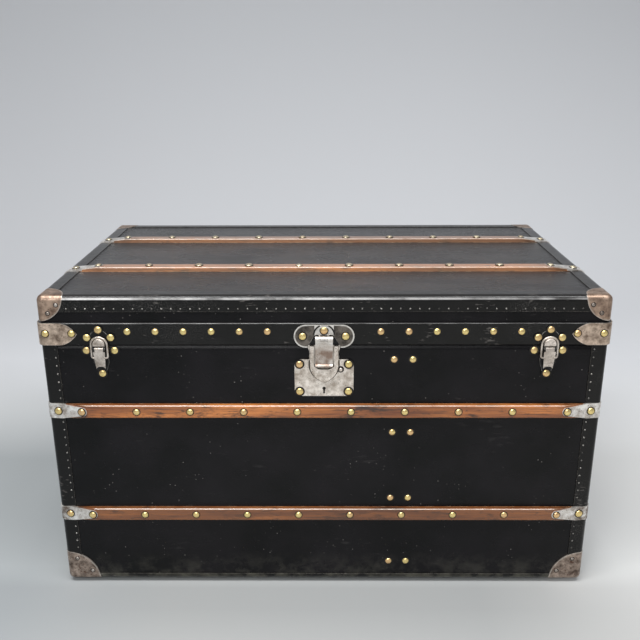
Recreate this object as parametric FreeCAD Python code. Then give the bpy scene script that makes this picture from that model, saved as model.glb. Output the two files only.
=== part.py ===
import FreeCAD, Part
import math
import os

# A flat-topped travelling trunk: a canvas-covered wooden box with a hinged lid, wooden slats,
# steel corners, a hasp lock, two toggle catches and two drop handles. Millimetres, front towards -Y,
# resting on Z = 0, origin in the middle of the footprint.

Vector = FreeCAD.Vector

# Carcass
BODY_WIDTH = 1006.0
BODY_DEPTH = 600.0
BASE_HEIGHT = 493.0
LID_HEIGHT = 89.0
EDGE_RADIUS = 9.0
CANVAS = 1.0
LINING = 0.8
BASE_BOARD = 12.0
FLOOR_BOARD = 12.0
LID_TOP_BOARD = 9.5
LID_INSET = 0.5
LID_GAP = 0.4
OVERRUN = 20.0

# Rim that stands up from the base into the lid
RIM_THICK = 7.0
RIM_RISE = 12.0
RIM_DEPTH = 16.0
RIM_CLEARANCE = 1.2

# Runners under the floor
RUNNER_HEIGHT = 8.0
RUNNER_WIDTH = 40.0
RUNNER_SETBACK = 70.0
RUNNER_INSET = 95.0
RUNNER_EASE = 2.0

# Edge trims
TRIM = 1.5
BASE_TRIM_LEG = 28.5
BOTTOM_TRIM_LEG = 12.0
LID_TRIM_LEG = 28.0

# Rounded steel corners
CORNER = 2.2
BASE_CORNER_REACH = 62.0
LID_CORNER_REACH = 45.0

# Wooden slats
SLAT_WIDTH = 26.0
SLAT = 9.0
SLAT_EASE = 3.0
SLAT_TAPER = 64.0
UPPER_SLAT_GAP = 16.0
LOWER_SLAT_HEIGHT = 150.0
TOP_SLAT_INSET = 177.0

# Steel clamps over the slat ends and the band corners
CLAMP = 1.5
SLAT_CLAMP_LAP = 1.5
SLAT_CLAMP_REACH = 74.0
SLAT_CLAMP_NOSE = 47.0
SLAT_CLAMP_TIP = 8.0
SLAT_CLAMP_FOLD = 62.0
TOP_CLAMP_FOLD = 36.5
CLAMP_FOLD_NOSE = 27.0
BAND_CLAMP_REACH = 72.0
BAND_CLAMP_NOSE = 48.0

# Raised band round the lower edge of the lid
BAND = 4.5
BAND_HEIGHT = 40.7
BAND_EASE = 1.5

# Nail and rivet heads
NAIL_RADIUS = 6.0
NAIL_RISE = 3.6
NAIL_CROWN_SHARE = 0.55
NAIL_SIDES = 8
SLAT_NAIL_INSET = 161.5
SLAT_NAILS = 8
SLAT_CLAMP_NAIL_NEAR = 21.0
SLAT_CLAMP_NAIL_BACK = 9.0
BAND_CLAMP_NAIL_NEAR = 16.5
BAND_CLAMP_NAIL_FAR = 63.0
BAND_CLAMP_NAIL_RISE = 1.5
BAND_NAIL_FIRST = 100.0
BAND_NAIL_LAST = 50.5
BAND_NAILS = 6
BAND_NAIL_RISE = 4.5
BAND_END_NAIL_INSET = 121.75
BAND_END_NAILS = 8
RIVET_RADIUS = 5.6
RIVET_RISE = 3.0

# Divider and the battens that guide it
DIVIDER = 10.0
DIVIDER_X = 142.0
DIVIDER_PLAY = 0.75
DIVIDER_DROP = 20.0
BATTEN = 14.0
BATTEN_WIDTH = 22.0
BATTEN_RIVET_LOW = 41.0
BATTEN_RIVET_ABOVE_SLAT = 32.0
BATTEN_RIVET_BELOW_SLAT = 45.0
BATTEN_RIVET_DROP = 29.0

# Lock plate on the base, with its raised shield
LOCK_PLATE = 2.0
LOCK_PLATE_WIDTH = 106.0
LOCK_PLATE_TOP = 28.0
LOCK_PLATE_BOTTOM = 99.0
LOCK_PLATE_CORNER = 10.0
LOCK_NECK_WIDTH = 53.0
LOCK_NECK_FLARE = 6.0
LOCK_FLARE_DROP = 22.0
LOCK_TOP_CLEARANCE = 0.6
LOCK_RIVET_INSET = 9.0
SHIELD = 7.0
SHIELD_WIDTH = 51.0
SHIELD_SHOULDER = 34.0
SHIELD_TIP = 70.0
SHIELD_BULGE_SHARE = 0.72
SHIELD_EASE = 2.0
SHIELD_SLOT_ARCH = 6.0
KEYHOLE_DROP = 84.0
KEYHOLE_RADIUS = 3.0
KEYHOLE_SLOT = 3.2
KEYHOLE_LENGTH = 10.0

# Lock case behind the plate, and the bolt in it
CASE_WIDTH = 74.0
CASE_WALL = 1.5
CASE_TOP = 16.5
CASE_BOTTOM = 96.0
BOLT_WIDTH = 26.0
BOLT_START = 7.0
BOLT_HEIGHT = 6.0
BOLT_TAIL_WIDTH = 11.0
BOLT_TAIL_LENGTH = 40.0
BOLT_PLAY = 0.3

# Release button in the lock plate
BUTTON_X = 29.5
BUTTON_DROP = 47.0
BUTTON_RADIUS = 3.5
BUTTON_OUT = 3.0
BUTTON_IN = 4.0
BUTTON_FLANGE = 1.5
BUTTON_FLANGE_RADIUS = 5.0
BUTTON_CLEARANCE = 0.08

# Hasp plate on the lid, with the hinge lug
HASP_PLATE = 2.0
HASP_EAR_RADIUS = 21.5
HASP_EAR_X = 32.0
HASP_EAR_RISE = 17.3
HASP_RIVET_X = 38.0
HASP_WEB_WIDTH = 18.0
HASP_TAB = 2.5
HASP_TAB_RIM = 3.0
HASP_TAB_RECESS = 1.2
HASP_TAB_WIDTH = 33.0
HASP_TAB_LOW = 20.5
HASP_TAB_TOP = 37.5
HASP_TAB_RIVET_RISE = 28.5
HASP_AXIS_OUT = 12.0
HASP_AXIS_RISE = 15.0
HASP_PIN_RADIUS = 2.0
HASP_LUG_WIDTH = 12.0
HASP_LUG_PLAY = 0.3

# Hasp strap and its staple
HASP_WIDTH = 31.0
HASP_THICK = 3.4
HASP_KNUCKLE_RADIUS = 4.5
HASP_KNEE_RISE = 3.0
HASP_END_DROP = 34.0
HASP_STANDOFF = 5.0
HASP_LIP_OUT = 3.0
HASP_LIP_DROP = 4.5
HASP_SLOT_PLAY = 2.5
STAPLE_WIDTH = 8.0
STAPLE_HEIGHT = 12.0
STAPLE_DROP = 24.0
STAPLE_DEPTH = 10.0
STAPLE_WALL = 2.2
STAPLE_PLAY = 2.0
STAPLE_SWING = 5.0

# Toggle catches
CATCH_INSET = 105.0
CATCH_PLATE = 1.6
CATCH_LOBE_RADIUS = 7.0
KEEPER_RADIUS = 17.0
KEEPER_RISE = 12.0
KEEPER_TOP_RIVET = 29.5
KEEPER_SIDE_RIVET_X = 21.0
KEEPER_SIDE_RIVET_RISE = 15.0
NOSE_RADIUS = 10.5
NOSE_OUT = 13.0
NOSE_TOP = 14.2
NOSE_EASE = 1.5
CATCH_SIDE_RIVET_X = 25.0
CATCH_SIDE_RIVET_DROP = 10.5
CATCH_TAIL_RIVET_DROP = 54.5
CATCH_BODY_WIDTH = 27.0
CATCH_BODY_TOP = 2.0
CATCH_BODY_LOW = 34.0
LEVER_AXIS_OUT = 9.0
LEVER_AXIS_DROP = 5.2
LEVER_KNUCKLE_RADIUS = 3.6
LEVER_PIN_RADIUS = 1.6
LEVER_LUG_WIDTH = 2.6
LEVER_LUG_GAP = 0.3
LEVER_TOP_WIDTH = 21.0
LEVER_END_WIDTH = 16.0
LEVER_SHOULDER_DROP = 9.8
LEVER_END_DROP = 43.0
LEVER_END_HOLLOW = 4.0
LEVER_BACK_OUT = 5.4
LEVER_FRONT_OUT = 13.0
LEVER_END_THICK = 3.6
BAIL_WIRE = 3.8
BAIL_ARCH_RADIUS = 14.2
BAIL_PIVOT_DROP = 22.5
BAIL_OUT = 8.6
BAIL_NOSE_GAP = 0.3
BAIL_GRIP = 3.2
PIN_CLEARANCE = 0.05

# Back hinges
HINGE_INSET = 170.0
HINGES = 3
HINGE_WIDTH = 64.0
HINGE_KNUCKLE_SHARE = 0.36
HINGE_KNUCKLE_GAP = 0.3
HINGE_LEAF = 1.8
HINGE_LEAF_DROP = 46.0
HINGE_LEAF_MARGIN = 3.0
HINGE_KNUCKLE_RADIUS = 4.5
HINGE_PIN_RADIUS = 2.4
HINGE_BAND_GAP = 0.4
HINGE_LEAF_CORNER = 5.0

# Drop handles on the ends
HANDLE_HEIGHT = 300.0
HANDLE_SPAN = 124.0
HANDLE_AXIS_OUT = 13.0
HANDLE_ROD_RADIUS = 5.0
HANDLE_ARM_SPAN = 84.0
HANDLE_DROP = 56.0
HANDLE_BEND = 11.0
HANDLE_GRIP_RADIUS = 8.0
HANDLE_GRIP_LENGTH = 56.0
HANDLE_GRIP_TAPER = 8.0
HANDLE_STUB_END = 3.0
BRACKET = 2.0
BRACKET_WIDTH = 36.0
BRACKET_HEIGHT = 54.0
BRACKET_CORNER = 9.0
BRACKET_EYE_RADIUS = 8.5
BRACKET_EYE_WIDTH = 14.0

# Levels and half sizes that follow from the sizes above
HALF_X = BODY_WIDTH / 2
HALF_Y = BODY_DEPTH / 2
BASE_Z = RUNNER_HEIGHT
OPEN_Z = BASE_Z + BASE_HEIGHT
LID_Z = OPEN_Z + LID_GAP
LID_TOP_Z = OPEN_Z + LID_HEIGHT
LID_HALF_X = HALF_X - LID_INSET
LID_HALF_Y = HALF_Y - LID_INSET
LID_BOARD = BASE_BOARD - LID_INSET - LINING - RIM_CLEARANCE
INNER_X = HALF_X - CANVAS - BASE_BOARD
INNER_Y = HALF_Y - CANVAS - BASE_BOARD
FLOOR_Z = BASE_Z + CANVAS + FLOOR_BOARD
RIM_LOW_Z = OPEN_Z - RIM_DEPTH
LID_INNER_X = LID_HALF_X - CANVAS - LID_BOARD
LID_INNER_Y = LID_HALF_Y - CANVAS - LID_BOARD
LID_CEILING_Z = LID_TOP_Z - CANVAS - LID_TOP_BOARD
BAND_TOP_Z = LID_Z + BAND_HEIGHT
BAND_OUT = BAND - LID_INSET
LOWER_SLAT_Z = BASE_Z + LOWER_SLAT_HEIGHT
UPPER_SLAT_Z = OPEN_Z - LOCK_PLATE_BOTTOM - UPPER_SLAT_GAP - SLAT_WIDTH / 2
SLAT_LEVELS = (LOWER_SLAT_Z, UPPER_SLAT_Z)
TOP_SLAT_Y = HALF_Y - TOP_SLAT_INSET
SLAT_HALF = HALF_X - EDGE_RADIUS
TOP_SLAT_HALF = LID_HALF_X - EDGE_RADIUS
SLAT_SLOPE = (SLAT - TRIM) / SLAT_TAPER
CATCH_X = HALF_X - CATCH_INSET
DIAGONAL = math.sin(math.pi / 4)
SIGNS = (-1, 1)


# General shapes

def block(x0, x1, y0, y1, z0, z1):
    """A box between two corners, given in any order."""
    low = Vector(min(x0, x1), min(y0, y1), min(z0, z1))
    return Part.makeBox(abs(x1 - x0), abs(y1 - y0), abs(z1 - z0), low)


def rod(radius, start, end):
    """A cylinder from one point to another."""
    along = end - start
    return Part.makeCylinder(radius, along.Length, start, along)


def is_upright(edge):
    """Whether an edge runs along Z."""
    low, high = (v.Point for v in edge.Vertexes)
    return math.hypot(high.x - low.x, high.y - low.y) < edge.Length / 2


def rounded_block(half_x, half_y, z0, z1, radius, rounded_z=None):
    """A box on the middle axis with round upright edges, and round edges at one level if that is given."""
    body = block(-half_x, half_x, -half_y, half_y, z0, z1)
    edges = [e for e in body.Edges if is_upright(e)]
    if rounded_z is not None:
        level = [e for e in body.Edges if not is_upright(e)]
        edges += [e for e in level if abs(e.BoundBox.ZMin - rounded_z) < radius]
    return body.makeFillet(radius, edges)


def base_form(grow, top):
    """The outside of the base, grown outwards by a thickness."""
    low = BASE_Z - grow
    return rounded_block(HALF_X + grow, HALF_Y + grow, low, top, EDGE_RADIUS + grow, low)


def lid_form(grow, low):
    """The outside of the lid, grown outwards by a thickness."""
    top = LID_TOP_Z + grow
    return rounded_block(LID_HALF_X + grow, LID_HALF_Y + grow, low, top, EDGE_RADIUS + grow, top)


def lid_collar(grow, low, top):
    """An upright prism of the lid's plan, grown outwards by a thickness."""
    return rounded_block(LID_HALF_X + grow, LID_HALF_Y + grow, low, top, EDGE_RADIUS + grow)


def line(start, end):
    """A straight edge."""
    return Part.LineSegment(start, end).toShape()


def arc(start, middle, end):
    """A round edge through three points."""
    return Part.Arc(start, middle, end).toShape()


def outline(knots):
    """A closed wire in the XZ plane. A knot is (x, z), or (x, z, x, z) for an arc through the first two."""
    points = [Vector(k[-2], 0, k[-1]) for k in knots]
    edges = []
    for i, knot in enumerate(knots):
        start = points[i - 1]
        if len(knot) > 2:
            edges.append(arc(start, Vector(knot[0], 0, knot[1]), points[i]))
        elif (points[i] - start).Length > 0:
            edges.append(line(start, points[i]))
    return Part.Wire(edges)


def symmetric_outline(knots):
    """A closed wire from the knots of its right half, listed from the top middle to the bottom middle."""
    left = []
    for i in range(len(knots) - 1, 0, -1):
        x, z = knots[i - 1][-2:]
        if len(knots[i]) > 2:
            left.append((-knots[i][0], knots[i][1], -x, z))
        else:
            left.append((-x, z))
    return outline(list(knots[1:]) + left)


def front_prism(wire, out0, out1, x=0, z=0):
    """A wire of the XZ plane, moved to (x, z) and thickened between two distances in front of the base."""
    face = Part.Face(wire)
    face.translate(Vector(x, -HALF_Y - out0, z))
    return face.extrude(Vector(0, out0 - out1, 0))


def front_disc(radius, out0, out1, x, z):
    """A round plate or boss between two distances in front of the base."""
    return rod(radius, Vector(x, -HALF_Y - out0, z), Vector(x, -HALF_Y - out1, z))


def front_block(x0, x1, out0, out1, z0, z1):
    """A box between two distances in front of the base."""
    return block(x0, x1, -HALF_Y - out0, -HALF_Y - out1, z0, z1)


def cross_rod(radius, x0, x1, out, z):
    """A cylinder along X at a distance in front of the base."""
    return rod(radius, Vector(x0, -HALF_Y - out, z), Vector(x1, -HALF_Y - out, z))


def profile_prism(knots, x0, x1):
    """A profile of (distance in front of the base, z) knots, extruded along X."""
    wire = outline([tuple(v if i % 2 else -v for i, v in enumerate(k)) for k in knots])
    wire.rotate(Vector(), Vector(0, 0, 1), math.degrees(math.pi / 2))
    face = Part.Face(wire)
    face.translate(Vector(x0, -HALF_Y, 0))
    return face.extrude(Vector(x1 - x0, 0, 0))


def front_plan(knots, z0, z1):
    """A plan of (x, distance in front of the base) knots, between two levels."""
    wire = outline(knots)
    wire.rotate(Vector(), Vector(1, 0, 0), math.degrees(math.pi / 2))
    face = Part.Face(wire)
    face.translate(Vector(0, -HALF_Y, z0))
    return face.extrude(Vector(0, 0, z1 - z0))


def lid_profile(knots, y0, y1):
    """A profile of (x, height above the lid) knots, between two places along Y."""
    face = Part.Face(outline(knots))
    face.translate(Vector(0, y0, LID_TOP_Z))
    return face.extrude(Vector(0, y1 - y0, 0))


def joined(shapes):
    """One solid out of touching or overlapping shapes."""
    return shapes[0].multiFuse(shapes[1:]).removeSplitter()


def mirrored(shape, normal):
    """The mirror image of a shape across a plane through the origin."""
    return shape.mirror(Vector(), normal)


def across_x(shapes):
    """The shapes with their mirror images on the other side of the middle."""
    return shapes + [mirrored(s, Vector(1, 0, 0)) for s in shapes]


def across_y(shapes):
    """The shapes with their mirror images at the back."""
    return shapes + [mirrored(s, Vector(0, 1, 0)) for s in shapes]


def to_back(shapes):
    """The mirror images at the back of shapes that are modelled at the front."""
    return [mirrored(s, Vector(0, 1, 0)) for s in shapes]


def evenly(first, last, count):
    """Places from first to last with equal steps."""
    return [first + i * (last - first) / (count - 1) for i in range(count)]


def save(name, shapes):
    """Writes the solids of one piece, or of a group of like pieces, to a STEP file."""
    solids = [solid for shape in shapes for solid in shape.Solids]
    shape = solids[0] if len(solids) == 1 else Part.makeCompound(solids)
    shape.exportStep(os.path.join("parts", name + ".step"))


# Nail and rivet heads

def head(radius, rise, place, out):
    """A low domed head on a surface, pointing along out."""
    rings = []
    for reach, height in ((radius, 0), (radius * NAIL_CROWN_SHARE, rise)):
        turns = [2 * math.pi * i / NAIL_SIDES for i in range(NAIL_SIDES + 1)]
        points = [Vector(reach * math.cos(t), reach * math.sin(t), height) for t in turns]
        rings.append(Part.makePolygon(points))
    dome = Part.makeLoft(rings, True, True)
    dome.Placement = FreeCAD.Placement(place, FreeCAD.Rotation(Vector(0, 0, 1), out))
    return dome


FRONT = Vector(0, -1, 0)
RIGHT = Vector(1, 0, 0)
UP = Vector(0, 0, 1)


def front_head(x, out, z, radius, rise):
    """A head on a surface that stands in front of the base by a distance."""
    return head(radius, rise, Vector(x, -HALF_Y - out, z), FRONT)


# Base

def lock_pocket():
    """The room for the lock in the front board: a pocket for the case and a slot for the staple."""
    half = CASE_WIDTH / 2
    depth = CANVAS + BASE_BOARD
    pocket = front_block(-half, half, OVERRUN, -depth, OPEN_Z - CASE_BOTTOM, OPEN_Z - CASE_TOP)
    return pocket.fuse(staple_slot())


def lock_window():
    """The cut in the canvas behind the wide part of the lock plate, with the slot for the staple."""
    half = CASE_WIDTH / 2
    top = OPEN_Z - LOCK_PLATE_TOP - CASE_WALL
    window = front_block(-half, half, OVERRUN, -CANVAS, OPEN_Z - CASE_BOTTOM, top)
    return window.fuse(staple_slot())


def staple_slot():
    """The upright slot that the staple drops into as the lid closes."""
    half = STAPLE_WIDTH / 2 + STAPLE_PLAY
    low = OPEN_Z - STAPLE_DROP - STAPLE_HEIGHT / 2 - STAPLE_SWING - STAPLE_PLAY
    depth = CANVAS + BASE_BOARD + RIM_THICK
    return front_block(-half, half, OVERRUN, -depth, low, OPEN_Z + RIM_RISE + OVERRUN)


def make_base_boards():
    """The four walls and the floor, with butted corners."""
    core = base_form(-CANVAS, OPEN_Z)
    front = core.common(block(-HALF_X, HALF_X, -HALF_Y, -INNER_Y, BASE_Z, OPEN_Z))
    right = core.common(block(INNER_X, HALF_X, -INNER_Y, INNER_Y, BASE_Z, OPEN_Z))
    save("base_front_board", [front.cut(lock_pocket())])
    save("base_back_board", [mirrored(front, Vector(0, 1, 0))])
    save("base_right_board", [right])
    save("base_left_board", [mirrored(right, Vector(1, 0, 0))])
    save("base_floor_board", [block(-INNER_X, INNER_X, -INNER_Y, INNER_Y, BASE_Z + CANVAS, FLOOR_Z)])


def make_base_covers():
    """The canvas outside and the lining inside."""
    canvas = base_form(0, OPEN_Z).cut(base_form(-CANVAS, OPEN_Z + OVERRUN))
    save("base_canvas", [canvas.cut(lock_window())])
    room = block(-INNER_X, INNER_X, -INNER_Y, INNER_Y, FLOOR_Z, RIM_LOW_Z)
    x, y = INNER_X - LINING, INNER_Y - LINING
    save("base_lining", [room.cut(block(-x, x, -y, y, FLOOR_Z + LINING, RIM_LOW_Z + OVERRUN))])


def make_rim():
    """Four strips that stand up inside the opening and guide the lid."""
    y = INNER_Y - RIM_THICK
    low, top = RIM_LOW_Z, OPEN_Z + RIM_RISE
    front = block(-INNER_X, INNER_X, -INNER_Y, -y, low, top)
    side = block(INNER_X - RIM_THICK, INNER_X, -y, y, low, top)
    save("base_rim", [front.cut(staple_slot()), mirrored(front, Vector(0, 1, 0))] + across_x([side]))


def make_runners():
    """Three runners that carry the trunk."""
    half_x = HALF_X - RUNNER_SETBACK
    half_y = RUNNER_WIDTH / 2
    runner = block(-half_x, half_x, -half_y, half_y, 0, RUNNER_HEIGHT)
    low_edges = [e for e in runner.Edges if e.BoundBox.ZMax < RUNNER_HEIGHT / 2]
    runner = runner.makeChamfer(RUNNER_EASE, low_edges)
    middle = runner.copy()
    runner.translate(Vector(0, RUNNER_INSET - HALF_Y, 0))
    save("base_runners", across_y([runner]) + [middle])


def corner_ball(reach, half_x, half_y, z):
    """A ball round the right front corner of a box."""
    return Part.makeSphere(reach, Vector(half_x, -half_y, z))


def make_base_trims():
    """Angle strips on the upright and the bottom edges, ending at the steel corners and at the slats."""
    shell = base_form(TRIM, OPEN_Z).cut(base_form(0, OPEN_Z + OVERRUN))
    shell = shell.cut(corner_ball(BASE_CORNER_REACH, HALF_X, HALF_Y, BASE_Z))
    far = OVERRUN
    x, y, z = HALF_X - BASE_TRIM_LEG, HALF_Y - BASE_TRIM_LEG, BASE_Z + BASE_TRIM_LEG
    upright = shell.common(block(x, HALF_X + far, -y, -HALF_Y - far, z, OPEN_Z))
    x, y, z = HALF_X - BOTTOM_TRIM_LEG, HALF_Y - BOTTOM_TRIM_LEG, BASE_Z + BOTTOM_TRIM_LEG
    for level in SLAT_LEVELS:
        upright = upright.cut(slat_bed(level))
    save("base_edge_trims", across_y(across_x([upright])))
    front = shell.common(block(0, HALF_X, -y, -HALF_Y - far, BASE_Z - far, z))
    front = joined(across_x([front]))
    side = shell.common(block(x, HALF_X + far, 0, -HALF_Y, BASE_Z - far, z))
    side = joined(across_y([side]))
    save("base_bottom_trims", across_y([front]) + across_x([side]))


def make_base_corners():
    """Rounded steel caps over the four bottom corners."""
    shell = base_form(CORNER, OPEN_Z).cut(base_form(0, OPEN_Z + OVERRUN))
    cap = shell.common(corner_ball(BASE_CORNER_REACH, HALF_X, HALF_Y, BASE_Z))
    save("base_corners", across_y(across_x([cap])))


# Slats, their clamps and nails

def slat_knots(half):
    """A slat seen along its edge, with ends that slope down to the edge trims."""
    full = half - SLAT_TAPER
    return (-half, 0), (half, 0), (half, TRIM), (full, SLAT), (-full, SLAT), (-half, TRIM)


def clamp_knots(half):
    """The room of the clamp over the right end of a slat, seen along the slat's edge."""
    full = half - SLAT_TAPER
    return (full, 0), (half, 0), (half, TRIM + CLAMP), (full, SLAT + CLAMP)


def clamp_level(half, x):
    """How far the face of a slat's clamp stands out at a place along the slat."""
    return TRIM + CLAMP + (half - x) * SLAT_SLOPE


def slat_bed(z):
    """The space of a front slat at a level, with square edges."""
    half_z = SLAT_WIDTH / 2
    return front_plan(slat_knots(SLAT_HALF), z - half_z, z + half_z)


def front_slat(z):
    """A front slat with eased long edges and sloping ends."""
    half_z = SLAT_WIDTH / 2
    bar = front_block(-SLAT_HALF, SLAT_HALF, 0, SLAT, z - half_z, z + half_z)
    edges = [e for e in bar.Edges if e.BoundBox.XLength > HALF_X and e.BoundBox.YMax < -HALF_Y - SLAT / 2]
    return bar.makeFillet(SLAT_EASE, edges).common(slat_bed(z))


def bullet(reach, height, nose):
    """The outline of a clamp's leg with a pointed round end, from a corner along a face."""
    straight = reach - nose
    half = height / 2
    side = straight + nose * DIAGONAL, half * DIAGONAL
    return ((-OVERRUN, -half), (straight, -half), (side[0], -side[1], reach, 0), (*side, straight, half),
            (-OVERRUN, half))


def tongue(reach, height, nose):
    """The outline of a clamp's leg that narrows to a round tip, from a corner along a face."""
    straight = reach - nose
    half, tip = height / 2, SLAT_CLAMP_TIP
    neck = reach - tip
    return ((-OVERRUN, -half), (straight, -half), (neck, -tip), (reach, 0, neck, tip), (straight, half),
            (-OVERRUN, half))


def leg(knots, corner, along, across, through):
    """The room of a clamp's leg, from its outline."""
    face = Part.Face(outline(knots))
    axes = FreeCAD.Matrix()
    axes.A11, axes.A21, axes.A31 = along
    axes.A13, axes.A23, axes.A33 = across
    axes.A12, axes.A22, axes.A32 = across.cross(along)
    axes.A14, axes.A24, axes.A34 = corner
    return face.transformGeometry(axes).extrude(through)


def slat_clamp(z):
    """The clamp at the right end of a front slat, with lips over its edges, folded onto the trunk's end."""
    height = SLAT_WIDTH + 2 * SLAT_CLAMP_LAP
    low, top = z - height / 2, z + height / 2
    far = OVERRUN
    skin = base_form(TRIM + CLAMP, OPEN_Z).common(block(0, HALF_X + far, 0, -HALF_Y - far, low, top))
    room = skin.fuse(front_plan(clamp_knots(SLAT_HALF), low, top)).cut(base_form(TRIM, OPEN_Z + far))
    corner = Vector(HALF_X + TRIM + CLAMP, -HALF_Y - TRIM - CLAMP, z)
    depth = far + CLAMP + TRIM + EDGE_RADIUS
    on_front = leg(tongue(SLAT_CLAMP_REACH, height, SLAT_CLAMP_NOSE),
                   corner + FRONT * far, RIGHT * -1, UP, FRONT * -depth)
    on_end = leg(tongue(SLAT_CLAMP_FOLD, height, CLAMP_FOLD_NOSE),
                 corner + RIGHT * far, FRONT * -1, UP, RIGHT * -depth)
    return room.common(on_front.fuse(on_end)).cut(front_slat(z))


def make_slats():
    """Two slats on the front and two on the back, with their clamps and nails."""
    slats = [front_slat(z) for z in SLAT_LEVELS]
    save("base_front_slats", slats)
    save("base_back_slats", to_back(slats))
    save("base_slat_clamps", across_y(across_x([slat_clamp(z) for z in SLAT_LEVELS])))
    wood = [front_head(x, SLAT, z, NAIL_RADIUS, NAIL_RISE) for z in SLAT_LEVELS for x in slat_nail_places()]
    steel = []
    end_x, end_y = HALF_X + TRIM + CLAMP, -HALF_Y - TRIM - CLAMP
    side_y = end_y + SLAT_CLAMP_FOLD - SLAT_CLAMP_NAIL_BACK
    for z in SLAT_LEVELS:
        for back in clamp_nail_places():
            place = Vector(end_x - back, -HALF_Y - clamp_level(SLAT_HALF, end_x - back), z)
            steel.append(head(NAIL_RADIUS, NAIL_RISE, place, FRONT + RIGHT * SLAT_SLOPE))
        steel.append(head(NAIL_RADIUS, NAIL_RISE, Vector(end_x, side_y, z), RIGHT))
    save("base_slat_nails", across_y(wood + across_x(steel)))


def clamp_nail_places():
    """Distances of a slat clamp's two nails from the trunk's corner."""
    return SLAT_CLAMP_NAIL_NEAR, SLAT_CLAMP_REACH - SLAT_CLAMP_NAIL_BACK


def slat_nail_places():
    """Positions along X of the nails of one slat."""
    return evenly(SLAT_NAIL_INSET - HALF_X, HALF_X - SLAT_NAIL_INSET, SLAT_NAILS)


# Divider

def make_divider():
    """The divider and the battens that guide it. Returns the batten rivets that show outside."""
    low = FLOOR_Z + LINING
    wall_y = INNER_Y - LINING
    pitch = DIVIDER / 2 + DIVIDER_PLAY + BATTEN_WIDTH / 2
    centres = (DIVIDER_X - pitch, DIVIDER_X + pitch)
    half = BATTEN_WIDTH / 2
    battens = [block(x - half, x + half, -wall_y, -wall_y + BATTEN, low, RIM_LOW_Z) for x in centres]
    save("divider_battens", across_y(battens))
    edge = INNER_Y - RIM_THICK - DIVIDER_PLAY
    board = block(DIVIDER_X - DIVIDER / 2, DIVIDER_X + DIVIDER / 2, -edge, edge, low, OPEN_Z - DIVIDER_DROP)
    save("divider_board", [board])
    levels = (BASE_Z + BATTEN_RIVET_LOW, LOWER_SLAT_Z + BATTEN_RIVET_ABOVE_SLAT,
              UPPER_SLAT_Z - BATTEN_RIVET_BELOW_SLAT, OPEN_Z - BATTEN_RIVET_DROP)
    rivets = [front_head(x, 0, z, NAIL_RADIUS, NAIL_RISE) for x in centres for z in levels]
    return across_y(rivets)


# Lid

def make_lid_boards():
    """The top board on four walls with butted corners."""
    core = lid_form(-CANVAS, LID_Z)
    save("lid_top_board", [core.common(block(-HALF_X, HALF_X, -HALF_Y, HALF_Y, LID_CEILING_Z, LID_TOP_Z))])
    front = core.common(block(-HALF_X, HALF_X, -HALF_Y, -LID_INNER_Y, LID_Z, LID_CEILING_Z))
    right = core.common(block(LID_INNER_X, HALF_X, -LID_INNER_Y, LID_INNER_Y, LID_Z, LID_CEILING_Z))
    save("lid_front_board", [front])
    save("lid_back_board", [mirrored(front, Vector(0, 1, 0))])
    save("lid_right_board", [right])
    save("lid_left_board", [mirrored(right, Vector(1, 0, 0))])


def make_lid_covers():
    """The canvas outside and the lining inside."""
    save("lid_canvas", [lid_form(0, LID_Z).cut(lid_form(-CANVAS, LID_Z - OVERRUN))])
    room = block(-LID_INNER_X, LID_INNER_X, -LID_INNER_Y, LID_INNER_Y, LID_Z, LID_CEILING_Z)
    x, y = LID_INNER_X - LINING, LID_INNER_Y - LINING
    save("lid_lining", [room.cut(block(-x, x, -y, y, LID_Z - OVERRUN, LID_CEILING_Z - LINING))])


def make_band():
    """The raised band round the lower edge, in four strips, with its corner clamps and nails."""
    outer = lid_collar(BAND, LID_Z, BAND_TOP_Z)
    outer = outer.makeFillet(BAND_EASE, [e for e in outer.Edges if e.BoundBox.ZLength < BAND_EASE])
    ring = outer.cut(lid_collar(0, LID_Z - OVERRUN, BAND_TOP_Z + OVERRUN))
    y = LID_HALF_Y - EDGE_RADIUS
    far = OVERRUN
    front = ring.common(block(-HALF_X - far, HALF_X + far, -HALF_Y - far, -y, LID_Z, BAND_TOP_Z))
    right = ring.common(block(0, HALF_X + far, -y, y, LID_Z, BAND_TOP_Z))
    save("lid_band", across_y([front]) + across_x([right]))
    save("lid_band_clamps", across_y(across_x([band_clamp()])))
    middle = LID_Z + BAND_HEIGHT / 2
    z = middle + BAND_NAIL_RISE
    places = evenly(BAND_NAIL_FIRST, CATCH_X - BAND_NAIL_LAST, BAND_NAILS)
    nails = across_x([front_head(x, BAND_OUT, z, NAIL_RADIUS, NAIL_RISE) for x in places])
    clear = HINGE_WIDTH / 2 + NAIL_RADIUS
    free = [x for x in places if all(abs(x - hinge) > clear for hinge in hinge_places())]
    behind = across_x([front_head(x, BAND_OUT, z, NAIL_RADIUS, NAIL_RISE) for x in free])
    nails += to_back(behind)
    side_x = HALF_X + BAND_OUT
    ends = [head(NAIL_RADIUS, NAIL_RISE, Vector(side_x, y, z), RIGHT)
            for y in evenly(BAND_END_NAIL_INSET - HALF_Y, HALF_Y - BAND_END_NAIL_INSET, BAND_END_NAILS)]
    middle += BAND_CLAMP_NAIL_RISE
    steel = [front_head(side_x + CLAMP - back, BAND_OUT + CLAMP, middle, NAIL_RADIUS, NAIL_RISE)
             for back in (BAND_CLAMP_NAIL_NEAR, BAND_CLAMP_NAIL_FAR)]
    edge_y = -HALF_Y - BAND_OUT - CLAMP + BAND_CLAMP_NAIL_FAR
    steel.append(head(NAIL_RADIUS, NAIL_RISE, Vector(side_x + CLAMP, edge_y, middle), RIGHT))
    save("lid_band_nails", nails + across_x(ends) + across_y(across_x(steel)))


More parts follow.
